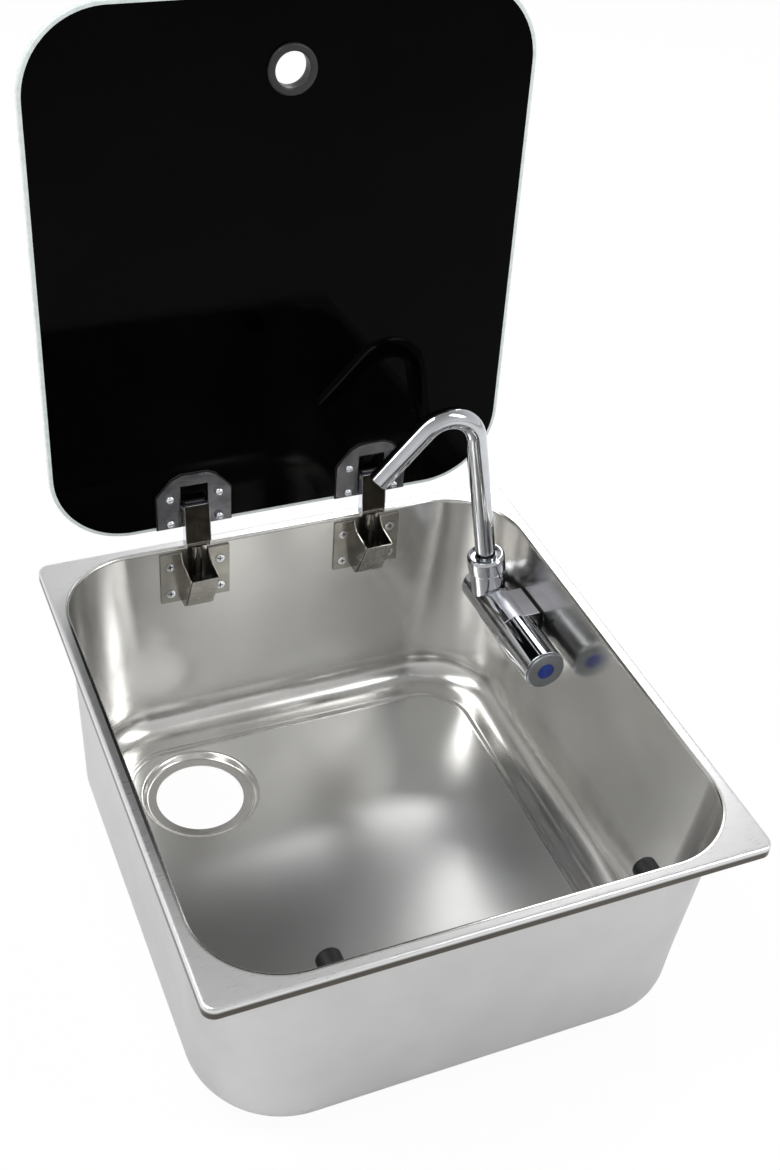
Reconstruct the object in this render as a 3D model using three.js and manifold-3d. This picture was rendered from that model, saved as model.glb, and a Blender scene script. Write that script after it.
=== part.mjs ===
// RV sink with a fold-down glass lid and a folding cold tap.
// Millimetres, +Z up, +Y to the back. Origin: centre of the floor panel's flat underside.
import * as THREE from 'three';
import Module from 'manifold-3d';
import { mergeVertices } from 'three/addons/utils/BufferGeometryUtils.js';

// ---- driving dimensions ----
const WIDTH = 400;            // over the skirt, X
const DEPTH = 440;            // over the skirt, Y
const HEIGHT = 188;           // underside of the floor panel to the rim's top
const SHEET = 1.0;            // bowl sheet
const RIM = 10.5;             // flat rim, skirt to opening
const SKIRT = 9;              // height of the down-turned skirt
const SKIRT_R = 9;            // plan radius of the rim's outer corners
const OPEN_R = 60;            // plan radius of the opening's corners
const LOW_R = 70;             // plan radius of the corners lower down
const DRAFT_X = 3.5;          // each side wall leans in by this over the height
const DRAFT_Y = 6.5;          // front and back wall
const FLOOR_R = 26;           // outer fillet, wall to floor
const LEDGE = 6;              // flat ledge after the fillet
const STEP = 1.5;             // the floor panel lies this much below the ledge
const STEP_RUN = 5;           // run of the slope from the ledge to the panel
const DRAIN_SIDE = 11;        // drain ring from the ledge's inner edge, left
const DRAIN_BACK = 13;        // and at the back
const DRAIN_RING_R = 47.5;
const DRAIN_SEAT = 11.5;      // ring's edge to the hole
const DRAIN_SINK = 4.5;       // drain seat below the panel
const GAP = 0.3;              // between pieces that touch in the real object
const LID_T = 5;              // glass thickness
const LID_SIDE = 3;           // gap beside the closed lid
const LID_END = 8;            // both end gaps of the closed lid together
const LID_BEHIND = 0.2;       // open lid: lower edge of its underside behind the opening
const LID_EDGE_UP = 20.8;     // and its height above the rim
const LID_LEAN = 2.37;        // degrees, open lid leans back
const FINGER_DOWN = 53;       // finger hole from the lid's upper edge
const FINGER_R = 12.5;        // hole in the grommet
const HINGE_FROM_CORNER = 44.5;   // hinge's middle from where the wall's corner starts
const PLATE_N0 = 1.1;         // bracket plate from the glass underside
const PLATE_T = 1.1;
const PLATE_H0 = 1.2;         // bracket's lower edge above the glass edge
const PIN_UP = 20;            // lid pin from the lid's lower edge
const PIN_R = 2;
const PIN_CLEAR = 0.3;        // lid pin from the bracket plate
const ROD_R = 4;              // guide rod
const ROD_GAP = 4;            // rod's back to the opening's edge
const ROD_PIN_UP = 9.29;      // rod pin above the rim, lid open
const BUMPER_FROM_CORNER = 6.5;   // bumper's middle from where the wall's corner starts
const BUMPER_R = 8.5;
const BUMPER_STEM = 4;
const TAP_GAP = 6;            // tap's barrel to the opening's edge
const TAP_DOWN = 61;          // barrel's axis below the rim
const CORNER_GAP = 0.836;     // tap's rear end to the curve of the wall's corner
const BARREL_R = 17;
const CARTRIDGE_R = 12;
const CARTRIDGE_IN = 18.7;    // cartridge, depth in the housing
const SPIGOT_R = 8.9;
const SPIGOT_IN = 12;         // knuckle's spigot, depth in the housing
const HOUSING_WEB = 2.5;      // web between the two bores
const SHANK_R = 10;
const STEM_R = 4;
const HANDLE_R = 17.5;
const HANDLE_LEN = 51.7;
const MARK_R = 7;             // blue mark
const TAP_TURN = -2.5;        // degrees on its shank, front end up
const RISER_LEAN = 10;        // degrees, towards the bowl
const TUBE_R = 8.5;
const TUBE_WALL = 1.0;
const RISER_LEN = 166;        // barrel axis to the start of the bend
const BEND_R = 26;
const BEND_DEG = 126.5;
const OUTLET_LEN = 54.6;
const COLLAR_H = 15.7;

// ---- derived ----
const HX = WIDTH / 2;
const HY = DEPTH / 2;
const OX = HX - RIM;          // opening half sizes
const OY = HY - RIM;
const TOP = HEIGHT;
const CORNER_R = Math.max(OPEN_R, LOW_R);
const FLAT_X = OX - CORNER_R;     // the walls are flat up to here
const DRAIN_X = DRAIN_SIDE + DRAIN_RING_R + LEDGE + FLOOR_R - OX;
const DRAIN_Y = OY - FLOOR_R - LEDGE - DRAIN_RING_R - DRAIN_BACK;
const DRAIN_HOLE_R = DRAIN_RING_R - DRAIN_SEAT;
const LID_W = 2 * (OX - LID_SIDE);
const LID_H = 2 * OY - LID_END;
const LID_EDGE_Y = OY + LID_BEHIND;
const FINGER_UP = LID_H - FINGER_DOWN;
const HINGE_X = FLAT_X - HINGE_FROM_CORNER;
const ROD_Y = OY - ROD_GAP - ROD_R;
const BUMPER_X = FLAT_X - BUMPER_FROM_CORNER;
const TAP_X = OX - TAP_GAP - BARREL_R;
const rad = (d) => d * Math.PI / 180;
const wallX = (z) => OX - DRAFT_X * (TOP - z) / HEIGHT;   // inner face of a side wall
const wallY = (z) => OY - DRAFT_Y * (TOP - z) / HEIGHT;   // inner face of the back wall
const FILLET_TOP = STEP + FLOOR_R;
// plan radius of the inner corners at height z
const wallR = (z) => LOW_R + (OPEN_R - LOW_R) * (z - FILLET_TOP) / (TOP - 2 - FILLET_TOP);
const BARREL_Z = TOP - TAP_DOWN;

const wasm = await Module();
wasm.setup();

// ---- geometry helpers ----
function solid(geometry) {
  let g = geometry.clone();
  g.deleteAttribute('normal');
  g.deleteAttribute('uv');
  g = mergeVertices(g, 1e-4);
  const src = g.index.array;
  const tri = [];
  for (let i = 0; i < src.length; i += 3) {
    const [a, b, c] = [src[i], src[i + 1], src[i + 2]];
    if (a !== b && b !== c && a !== c) tri.push(a, b, c);
  }
  const build = (t) => new wasm.Manifold(new wasm.Mesh({
    numProp: 3,
    vertProperties: new Float32Array(g.attributes.position.array),
    triVerts: new Uint32Array(t),
  }));
  let m = build(tri);
  if (m.volume() < 0) {
    for (let i = 0; i < tri.length; i += 3) [tri[i], tri[i + 1]] = [tri[i + 1], tri[i]];
    m = build(tri);
  }
  return m;
}
function geometryOf(manifold) {
  const mesh = manifold.getMesh();
  const g = new THREE.BufferGeometry();
  const n = mesh.numProp;
  const count = mesh.vertProperties.length / n;
  const pos = new Float32Array(count * 3);
  for (let i = 0; i < count; i++) {
    for (let k = 0; k < 3; k++) pos[3 * i + k] = mesh.vertProperties[n * i + k];
  }
  g.setAttribute('position', new THREE.BufferAttribute(pos, 3));
  g.setIndex(new THREE.BufferAttribute(new Uint32Array(mesh.triVerts), 1));
  g.computeVertexNormals();
  return g;
}
const basis = (x, y, z) => new THREE.Matrix4().makeBasis(x, y, z);
const V = (x, y, z) => new THREE.Vector3(x, y, z);
const AXES = {
  z: new THREE.Matrix4(),
  x: basis(V(0, 1, 0), V(0, 0, 1), V(1, 0, 0)),   // outline in (y, z), extruded along x
  y: basis(V(1, 0, 0), V(0, 0, 1), V(0, -1, 0)),  // outline in (x, z), extruded along -y
};
// Straight extrusion of an outline from `from` to `to` along an axis.
function prism(outline, axis, from, to, holes = []) {
  const shape = new THREE.Shape(outline.map((p) => new THREE.Vector2(p[0], p[1])));
  for (const hole of holes) {
    shape.holes.push(new THREE.Path(hole.map((p) => new THREE.Vector2(p[0], p[1]))));
  }
  const g = new THREE.ExtrudeGeometry(shape, { depth: to - from, bevelEnabled: false, steps: 1 });
  g.applyMatrix4(AXES[axis]);
  if (axis === 'z') g.translate(0, 0, from);
  if (axis === 'x') g.translate(from, 0, 0);
  if (axis === 'y') g.translate(0, to, 0);
  return solid(g);
}
const arc = (cx, cy, r, a0, a1, n) => Array.from({ length: n + 1 }, (_, i) => {
  const a = rad(a0 + (a1 - a0) * i / n);
  return [cx + r * Math.cos(a), cy + r * Math.sin(a)];
});
const circle = (cx, cy, r, n = 24) => arc(cx, cy, r, 0, 360, n).slice(0, n);
const rect = (x0, y0, x1, y1) => [[x0, y0], [x1, y0], [x1, y1], [x0, y1]];
function box(x0, x1, y0, y1, z0, z1) {
  return prism(rect(x0, y0, x1, y1), 'z', z0, z1);
}
// Revolved profile of [radius, along] points about an axis through `at`, pointing along `dir`.
function turned(profile, at, dir, n = 24) {
  const pts = profile.map((p) => new THREE.Vector2(p[0], p[1]));
  if (profile[0][0] > 1e-9) pts.push(pts[0].clone());
  const g = new THREE.LatheGeometry(pts, n);
  const q = new THREE.Quaternion().setFromUnitVectors(V(0, 1, 0), dir.clone().normalize());
  g.applyQuaternion(q);
  g.translate(at.x, at.y, at.z);
  return solid(g);
}
const rod = (r, at, dir, a0, a1, n = 24) => turned([[0, a0], [r, a0], [r, a1], [0, a1]], at, dir, n);
const ring = (r0, r1, at, dir, a0, a1, n = 24) => (
  turned([[r0, a0], [r1, a0], [r1, a1], [r0, a1]], at, dir, n));
// Rounded rectangle ring of points at height z.
function ringPoints(hx, hy, r, z, n) {
  const out = [];
  const q = [[1, 1, 0], [-1, 1, 90], [-1, -1, 180], [1, -1, 270]];
  for (const [sx, sy, a0] of q) {
    for (const p of arc(sx * (hx - r), sy * (hy - r), r, a0, a0 + 90, n)) out.push(V(p[0], p[1], z));
  }
  return out;
}
// Closed loft through rings that have the same number of points, flat convex end caps.
function loft(rings) {
  const n = rings[0].length;
  const pos = [];
  for (const r of rings) for (const p of r) pos.push(p.x, p.y, p.z);
  const idx = [];
  for (let k = 0; k + 1 < rings.length; k++) {
    for (let i = 0; i < n; i++) {
      const j = (i + 1) % n;
      const a = k * n + i;
      const b = k * n + j;
      const c = (k + 1) * n + j;
      const d = (k + 1) * n + i;
      idx.push(a, b, c, a, c, d);
    }
  }
  const last = (rings.length - 1) * n;
  for (let i = 1; i + 1 < n; i++) {
    idx.push(0, i + 1, i);
    idx.push(last, last + i, last + i + 1);
  }
  const g = new THREE.BufferGeometry();
  g.setAttribute('position', new THREE.BufferAttribute(new Float32Array(pos), 3));
  g.setIndex(idx);
  return solid(g);
}
const joined = (list) => list.reduce((a, b) => a.add(b));
const less = (a, list) => list.reduce((m, b) => m.subtract(b), a);

const model = new THREE.Group();
model.name = 'rv_sink_with_glass_lid';
function put(name, manifold, color, metal, rough, alpha = 1) {
  const material = new THREE.MeshStandardMaterial({ color, metalness: metal, roughness: rough });
  material.name = name;
  if (alpha < 1) {
    material.transparent = true;
    material.opacity = alpha;
  }
  const mesh = new THREE.Mesh(geometryOf(manifold), material);
  mesh.name = name;
  model.add(mesh);
}
const STEEL = 0xb8b8b6;
const DARK = 0x5a5a5c;
const CHROME = 0xd0d2d6;
const RUBBER = 0x202224;
const PLASTIC = 0x2c2c2e;

// ---- bowl ----
const CORNER = 8;
// One face of the pan: `off` 0 is the inner face, SHEET the outer one.
function panRings(off) {
  const rings = [];
  const fillet = FLOOR_R - SHEET + off;
  const base = SHEET - off;                  // panel height of this face
  const zFillet = FILLET_TOP;
  const ends = wallX(zFillet) + off;
  const endsY = wallY(zFillet) + off;
  const flat = fillet + LEDGE;
  const floorR = LOW_R + off - fillet;
  const run = flat + STEP_RUN;
  rings.push(ringPoints(ends - run, endsY - run, floorR - LEDGE - 3, base, CORNER));
  rings.push(ringPoints(ends - flat, endsY - flat, floorR - LEDGE, base + STEP, CORNER));
  for (let i = 0; i <= 6; i++) {
    const a = rad(90 - 15 * i);
    const inset = fillet * (1 - Math.cos(a));
    rings.push(ringPoints(ends - inset, endsY - inset, LOW_R + off - inset,
      zFillet - fillet * Math.sin(a), CORNER));
  }
  for (const f of [0.35, 0.7]) {
    const z = zFillet + f * (TOP - 2 - zFillet);
    rings.push(ringPoints(wallX(z) + off, wallY(z) + off, wallR(z) + off, z, CORNER));
  }
  return rings;
}
const inner = panRings(0);
inner.push(ringPoints(wallX(TOP - 2), wallY(TOP - 2), OPEN_R, TOP - 2, CORNER));
inner.push(ringPoints(OX + 0.15, OY + 0.15, OPEN_R, TOP - 1.2, CORNER));
inner.push(ringPoints(OX + 0.75, OY + 0.75, OPEN_R + 0.7, TOP - 0.4, CORNER));
inner.push(ringPoints(OX + 2, OY + 2, OPEN_R + 2, TOP, CORNER));
inner.push(ringPoints(OX + 2, OY + 2, OPEN_R + 2, TOP + 5, CORNER));
const outer = panRings(SHEET);
outer.push(ringPoints(wallX(TOP - 3) + SHEET, wallY(TOP - 3) + SHEET, OPEN_R + 1, TOP - 3, CORNER));
const LIP = SHEET + 0.9;
outer.push(ringPoints(OX + LIP, OY + LIP, OPEN_R + LIP, TOP - SHEET - 0.4, CORNER));
outer.push(ringPoints(OX + 2 + SHEET, OY + 2 + SHEET, OPEN_R + 2 + SHEET, TOP - SHEET / 2, CORNER));
const flangeOuter = loft([
  ringPoints(HX, HY, SKIRT_R, TOP - SKIRT, CORNER),
  ringPoints(HX, HY, SKIRT_R, TOP - 2, CORNER),
  ringPoints(HX - 0.3, HY - 0.3, SKIRT_R - 0.3, TOP - 1, CORNER),
  ringPoints(HX - 1, HY - 1, SKIRT_R - 1, TOP - 0.3, CORNER),
  ringPoints(HX - 2, HY - 2, SKIRT_R - 2, TOP, CORNER),
]);
const flangeInner = loft([
  ringPoints(HX - SHEET, HY - SHEET, SKIRT_R - SHEET, TOP - SKIRT - 1, CORNER),
  ringPoints(HX - SHEET, HY - SHEET, SKIRT_R - SHEET, TOP - SHEET - 1, CORNER),
  ringPoints(HX - SHEET - 1, HY - SHEET - 1, SKIRT_R - SHEET - 1, TOP - SHEET, CORNER),
]);
const drainAt = V(DRAIN_X, DRAIN_Y, 0);
const UP = V(0, 0, 1);
const seatZ = -DRAIN_SINK;
const drainRing = turned([
  [DRAIN_RING_R + 0.8, 0], [DRAIN_RING_R + 0.8, SHEET], [DRAIN_RING_R - 0.6, SHEET],
  [DRAIN_RING_R - 1.6, SHEET - 0.5], [DRAIN_RING_R - 3.3, seatZ + SHEET + 0.4],
  [DRAIN_RING_R - 4.3, seatZ + SHEET], [DRAIN_HOLE_R, seatZ + SHEET], [DRAIN_HOLE_R, seatZ],
  [DRAIN_RING_R - 3.9, seatZ], [DRAIN_RING_R - 2.7, seatZ + 0.4],
  [DRAIN_RING_R - 1, -0.6], [DRAIN_RING_R, 0],
], drainAt, UP, 40);
let bowl = flangeOuter.subtract(flangeInner).add(loft(outer)).subtract(loft(inner));
bowl = bowl.subtract(rod(DRAIN_RING_R, drainAt, UP, -5, 5, 40)).add(drainRing);

// ---- bumpers ----
const BUMPER_Z = TOP - LID_T - GAP - BUMPER_R;
const frontIn = wallY(BUMPER_Z);
for (const [side, sx] of [['left', -1], ['right', 1]]) {
  const at = V(sx * BUMPER_X, -frontIn, BUMPER_Z);
  const Yp = V(0, 1, 0);
  bowl = bowl.subtract(rod(BUMPER_STEM + GAP, at, Yp, -5, 5, 20));
  const w = SHEET + 0.3;
  put(`bumper_${side}`, turned([
    [0, -w - 3.2], [BUMPER_STEM - 1.6, -w - 3.2], [BUMPER_STEM + 1.6, -w - 1],
    [BUMPER_STEM + 1.6, -w - 0.15], [BUMPER_STEM, -w - 0.15], [BUMPER_STEM, 0.5],
    [BUMPER_R - 0.4, 0.5], [BUMPER_R, 1], [BUMPER_R, 12.6], [BUMPER_R - 0.5, 14], [BUMPER_R - 1.7, 15],
    [0, 15],
  ], at, Yp, 20), RUBBER, 0, 0.8);
}

// ---- glass lid ----
const lean = rad(LID_LEAN);
const lidUp = V(0, Math.sin(lean), Math.cos(lean));      // along the lid
const lidOut = V(0, -Math.cos(lean), Math.sin(lean));    // out of the underside
const lidFrame = basis(V(1, 0, 0), lidUp, lidOut).setPosition(0, LID_EDGE_Y, TOP + LID_EDGE_UP);
const onLid = (x, h, n) => V(x, h, n).applyMatrix4(lidFrame);
// Outline in (x, height along the lid), extruded out of the glass from n0 to n1.
function lidPrism(outline, n0, n1, holes = []) {
  return prism(outline, 'z', n0, n1, holes).transform(lidFrame.elements);
}
const GLASS_BEVEL = 0.8;
const glassRing = (inset, n) => ringPoints(LID_W / 2 - inset, LID_H / 2 - inset, OPEN_R + 2 - inset, n, 10);
let glass = loft([glassRing(GLASS_BEVEL, -LID_T), glassRing(0, -LID_T + GLASS_BEVEL),
  glassRing(0, -GLASS_BEVEL), glassRing(GLASS_BEVEL, 0)]).translate([0, LID_H / 2, 0]);
const GROMMET_TUBE = FINGER_R + 3;
const GROMMET_R = FINGER_R + 5.5;
glass = glass.subtract(rod(GROMMET_TUBE + GAP, V(0, FINGER_UP, 0), UP, -LID_T - 1, 1, 32));
put('glass_lid', glass.transform(lidFrame.elements), 0x0a0a0c, 0, 0.08, 0.9);
const lidAxis = lidOut;
put('grommet_front', turned([
  [FINGER_R, -LID_T / 2 + 0.15], [FINGER_R, 2.2], [FINGER_R + 0.8, 3],
  [GROMMET_R - 0.8, 3], [GROMMET_R, 2.2], [GROMMET_R, GAP],
  [GROMMET_TUBE, GAP], [GROMMET_TUBE, -LID_T / 2 + 0.15],
], onLid(0, FINGER_UP, 0), lidAxis, 32), RUBBER, 0, 0.6);
put('grommet_back', turned([
  [FINGER_R, -LID_T - 2.2], [FINGER_R + 0.8, -LID_T - 3], [GROMMET_R - 0.8, -LID_T - 3],
  [GROMMET_R, -LID_T - 2.2], [GROMMET_R, -LID_T - GAP],
  [GROMMET_TUBE, -LID_T - GAP], [GROMMET_TUBE, -LID_T / 2 - 0.15],
  [FINGER_R, -LID_T / 2 - 0.15],
], onLid(0, FINGER_UP, 0), lidAxis, 32), RUBBER, 0, 0.6);

// ---- lid hinges ----
const PLATE_N1 = PLATE_N0 + PLATE_T;
const PIN_OUT = PLATE_N1 + PIN_CLEAR + PIN_R;
const PIN_EYE = PIN_R + 2.1;  // metal around a pin
const BRACKET_W = 60;
const BRACKET_H = 49;         // its upper edge above the glass edge
const EAR_IN = 7.8;
const EAR_OUT = EAR_IN + 1.2;
const EAR_R = PIN_R + 2;
const CHEEK_IN = EAR_OUT + 0.5;
const CHEEK_OUT = CHEEK_IN + 0.9;
const BOX_IN = CHEEK_OUT + 0.6;
const BOX_OUT = BOX_IN + 1.2;
const PIN_HOLE = PIN_R + 0.1;
const pinC = onLid(0, PIN_UP, PIN_OUT);                  // lid pin
const pinR = V(0, ROD_Y, TOP + ROD_PIN_UP);              // rod pin
const armDir = pinC.clone().sub(pinR).normalize();
const armOut = V(0, -armDir.z, armDir.y);                // towards the web
const armFrame = basis(V(1, 0, 0), armDir, armOut).setPosition(pinR.x, pinR.y, pinR.z);
const ARM_LEN = pinC.distanceTo(pinR);
const BOX_DOWN = 4;           // wall box below the rim
const BOX_H = 48;
const BOX_TOP = TOP - BOX_DOWN;
const BOX_BOTTOM = BOX_TOP - BOX_H;
const COVER_DOWN = 12.5;      // cover's upper edge below the rim
const COVER_OUT = 19.15;      // and in front of the rod
const coverY = (z) => ROD_Y - ROD_R - COVER_OUT + 0.45 * (TOP - COVER_DOWN - z);
const WING_X = 29;
const SCREW_X = 21;
const SCREW_DOWN = [BOX_DOWN + 12.5, BOX_DOWN + BOX_H - 8.5];
const STUD_X = 20;
const STUD_UP = [6.8, 29.6];

function hinge(side, x0) {
  const at = (m) => m.translate([x0, 0, 0]);
  // pad between the bracket and the glass
  const octagon = (g) => {
    const w = BRACKET_W / 2 + g;
    const top = BRACKET_H + g;
    const half = [[w, PLATE_H0 - g], [w, top - 18], [w - 13, top - 3.3], [w - 20, top]];
    return [...half, ...half.map((p) => [-p[0], p[1]]).reverse()];
  };
  // the ears are bent out of the window, so that the arm's web passes through it
  const inX = EAR_OUT + 0.2;
  const outX = CHEEK_OUT + 0.9;
  const window = [[-outX, PIN_UP - EAR_R - 0.5], [-inX, PIN_UP - EAR_R - 0.5], [-inX, PIN_UP + EAR_R],
    [inX, PIN_UP + EAR_R], [inX, PIN_UP - EAR_R - 0.5], [outX, PIN_UP - EAR_R - 0.5],
    [outX, PIN_UP + 19], [-outX, PIN_UP + 19]];
  const studHoles = [];
  for (const sx of [-1, 1]) for (const h of STUD_UP) studHoles.push(circle(sx * STUD_X, h, 2.2, 16));
  const padOutline = octagon(0.9);
  put(`${side}_pad`, at(lidPrism(padOutline, 0.15, 0.95, [...studHoles, window])), 0x141414, 0, 0.7);
  // bracket with two ears bent up beside the window
  const ear = (x) => {
    const c = [PIN_UP, PIN_OUT];
    const low = PIN_UP - EAR_R - 0.2;
    const outline = [[low, PLATE_N0 + 0.3], [PIN_UP + EAR_R, PLATE_N0 + 0.3], [PIN_UP + EAR_R, PIN_OUT],
      ...arc(c[0], c[1], EAR_R, 0, 180, 10), [low, PIN_OUT]];
    const m = prism(outline, 'x', x, x + EAR_OUT - EAR_IN, [circle(c[0], c[1], PIN_HOLE, 16)]);
    return m.transform(lidFrame.elements);
  };
  const plate = lidPrism(octagon(0), PLATE_N0, PLATE_N1, [...studHoles, window]);
  put(`${side}_bracket`, at(joined([plate, ear(EAR_IN), ear(-EAR_OUT)])), DARK, 0.9, 0.35);
  let k = 0;
  for (const sx of [-1, 1]) {
    for (const h of STUD_UP) {
      k += 1;
      put(`${side}_stud_${k}`, at(turned([
        [0, 0.4], [1.9, 0.4], [1.9, PLATE_N1 + 0.15], [3.4, PLATE_N1 + 0.15], [3.4, PLATE_N1 + 2.2],
        [2.6, PLATE_N1 + 3.2], [1.4, PLATE_N1 + 3.9], [0, PLATE_N1 + 4.1],
      ], onLid(sx * STUD_X, h, 0), lidOut, 12)), CHROME, 1, 0.2);
    }
  }
  // arm: two cheeks and a web
  const heel = PIN_EYE + 0.4;
  const back = PIN_EYE + 0.9;
  const flank = [[-heel, 0], ...arc(0, 0, heel, 180, 270, 6), [4, -3.2], [ARM_LEN - 6, -1.6],
    [ARM_LEN - 3.7, -1.8], ...arc(ARM_LEN, 0, PIN_EYE, 207, 360, 10), [ARM_LEN + PIN_EYE, 2],
    [ARM_LEN + 3, back], [2.5, back], [-3.4, 3.2]];
  const holes = [circle(0, 0, PIN_HOLE, 16), circle(ARM_LEN, 0, PIN_HOLE, 16)];
  const cheek = (x) => prism(flank, 'x', x, x + CHEEK_OUT - CHEEK_IN, holes);
  const web = prism(rect(2.5, PIN_EYE, ARM_LEN + 3, back), 'x', -CHEEK_OUT, CHEEK_OUT);
  const arm = joined([cheek(CHEEK_IN), cheek(-CHEEK_OUT), web]).transform(armFrame.elements);
  put(`${side}_arm`, at(arm), CHROME, 1, 0.25);
  const X = V(1, 0, 0);
  put(`${side}_lid_pin`, at(rod(PIN_R, pinC, X, -CHEEK_OUT, CHEEK_OUT, 16)), CHROME, 1, 0.2);
  // guide rod with its cross head
  const shaft = rod(ROD_R, V(0, ROD_Y, 0), UP, BOX_BOTTOM + 4.5, pinR.z, 24);
  const head = rod(PIN_R + 1.8, pinR, X, -CHEEK_IN + 0.35, CHEEK_IN - 0.35, 24);
  const rodPinHole = rod(PIN_HOLE, pinR, X, -12, 12, 16);
  put(`${side}_rod`, at(joined([shaft, head]).subtract(rodPinHole)), 0x6a6660, 1, 0.3);
  put(`${side}_rod_pin`, at(rod(PIN_R, pinR, X, -CHEEK_OUT, CHEEK_OUT, 16)), CHROME, 1, 0.2);
  // wall box: two wings on the wall and two cheeks with the guide bush between them
  const wallBack = (z) => wallY(z) - GAP;
  const PT = 1.5;
  const wing = (xa, xb) => prism([[wallBack(BOX_BOTTOM), BOX_BOTTOM], [wallBack(BOX_TOP), BOX_TOP],
    [wallBack(BOX_TOP) - PT, BOX_TOP], [wallBack(BOX_BOTTOM) - PT, BOX_BOTTOM]], 'x', xa, xb);
  const CT = TOP - COVER_DOWN;
  const boxSide = [[wallBack(BOX_BOTTOM), BOX_BOTTOM], [wallBack(BOX_TOP), BOX_TOP],
    [wallBack(BOX_TOP) - PT, BOX_TOP],
    [wallBack(BOX_TOP) - PT - 6, CT + 1], [coverY(CT) + 3, CT], [coverY(CT) + 1.5, CT - 1.5],
    [coverY(BOX_BOTTOM) + 1.5, BOX_BOTTOM]];
  let wallBox = joined([
    wing(BOX_IN, WING_X), wing(-WING_X, -BOX_IN),
    prism(boxSide, 'x', BOX_IN, BOX_OUT), prism(boxSide, 'x', -BOX_OUT, -BOX_IN),
    // bottom strip joins the two halves and lets the rod through
    prism([[wallBack(BOX_BOTTOM), BOX_BOTTOM], [wallBack(BOX_BOTTOM + 1.2), BOX_BOTTOM + 1.2],
      [coverY(BOX_BOTTOM) + 1.5, BOX_BOTTOM + 1.2], [coverY(BOX_BOTTOM) + 1.5, BOX_BOTTOM]],
    'x', -BOX_OUT, BOX_OUT),
  ]);
  const normal = V(0, -1, 0);
  wallBox = wallBox.subtract(rod(ROD_R + 0.6, V(0, ROD_Y, 0), UP, BOX_BOTTOM - 3, BOX_BOTTOM + 3, 24));
  k = 0;
  for (const sx of [-1, 1]) {
    for (const down of SCREW_DOWN) {
      k += 1;
      const z = TOP - down;
      const c = V(sx * SCREW_X, wallBack(z), z);
      const face = PT;                        // plate face, measured out from its back
      const sunk = [[0, -1], [2.3, -1], [2.3, 0.2], [4.4, face + 0.3], [4.4, 3], [0, 3]];
      wallBox = wallBox.subtract(turned(sunk, c, normal, 14));
      bowl = bowl.subtract(rod(2.3, V(x0 + c.x, c.y, z), normal, -3, 1, 14));
      let screw = turned([[0, -7.4], [0.6, -7], [2, -4.8], [2, 0.3], [4, face + 0.1], [0, face + 0.1]],
        c, normal, 14);
      const cut = 1.1;
      const cross = (hx, hz) => box(c.x - hx, c.x + hx,
        c.y - face - 0.2, c.y - face - 0.1 + cut, z - hz, z + hz);
      screw = less(screw, [cross(2.1, 0.45), cross(0.45, 2.1)]);
      put(`${side}_wall_screw_${k}`, at(screw), CHROME, 1, 0.25);
    }
  }
  put(`${side}_wall_box`, at(wallBox), 0xa8a59e, 0.9, 0.35);
  // sloped cover between the cheeks
  const z0 = BOX_BOTTOM + 1.5;
  put(`${side}_cover`, at(prism([[coverY(z0), z0], [coverY(z0) + 1, z0], [coverY(CT) + 1, CT],
    [coverY(CT), CT]], 'x', -BOX_IN + 0.3, BOX_IN - 0.3)), 0x8e8b84, 0.9, 0.4);
  // guide bush, open at the front where the cover closes it
  const b0 = BOX_BOTTOM + 1.5;
  const b1 = b0 + 9;
  const front = coverY(b0) + 1.3;
  const bush = prism([[front, b0], [wallBack(b0) - 0.4, b0], [wallBack(b1) - 0.4, b1], [front, b1]],
    'x', -BOX_IN + 0.3, BOX_IN - 0.3)
    .subtract(rod(ROD_R + 0.1, V(0, ROD_Y, 0), UP, b0 - 2, b1 + 2, 32));
  put(`${side}_guide_bush`, at(bush), PLASTIC, 0, 0.5);
}
hinge('left', -HINGE_X);
hinge('right', HINGE_X);

// ---- folding tap on the inside of the right wall ----
const Xp = V(1, 0, 0);
const Yp = V(0, 1, 0);
const barrel = V(TAP_X, 0, BARREL_Z);
const SPIGOT_BORE = SPIGOT_IN + 2.5;
const HOUSING_LEN = CARTRIDGE_IN + GAP + HOUSING_WEB + SPIGOT_BORE;
const KNUCKLE_R = BARREL_R - 0.8;
const BUSH_R = TUBE_R + 2.1;
const NECK_R = TUBE_R + 6;
// the knuckle's rear end reaches as far into the curve of the wall's corner as CORNER_GAP allows
const room = wallX(BARREL_Z) - CORNER_GAP - TAP_X - KNUCKLE_R;
const reach = Math.sqrt(2 * wallR(BARREL_Z) * room - room * room);
const K1 = wallY(BARREL_Z) - wallR(BARREL_Z) + reach;      // knuckle, back and front
const RISER_Y = K1 - 7.5 - NECK_R;
const K0 = RISER_Y - NECK_R - 1.2;
const H1 = K0 - GAP;          // housing, back and front
const H0 = H1 - HOUSING_LEN;
const TAP_Y = (H0 + H1) / 2;  // shank's axis
const tapTurn = new THREE.Matrix4().makeTranslation(0, TAP_Y, BARREL_Z)
  .multiply(new THREE.Matrix4().makeRotationX(rad(TAP_TURN)))
  .multiply(new THREE.Matrix4().makeTranslation(0, -TAP_Y, -BARREL_Z));
const putTap = (name, manifold, ...look) => put(name, manifold.transform(tapTurn.elements), ...look);
const FLAT = BARREL_R - 1.8;  // the housing's flats above and below the axis
const FLAT_TOP = BARREL_Z + FLAT;
const LOW = BARREL_Z - FLAT;
const wallAt = (z) => wallX(z) - GAP;
const GASKET = 1.5;
const housingX = (z) => wallAt(z) - GASKET - 0.15;
const flatAngle = Math.asin(FLAT / BARREL_R) * 180 / Math.PI;
const tapAt = V(0, TAP_Y, BARREL_Z);
const dOutline = [[housingX(LOW), LOW], [housingX(FLAT_TOP), FLAT_TOP],
  ...arc(TAP_X, BARREL_Z, BARREL_R, flatAngle, 360 - flatAngle, 24)];
let housing = prism(dOutline, 'y', H0, H1);
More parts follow.
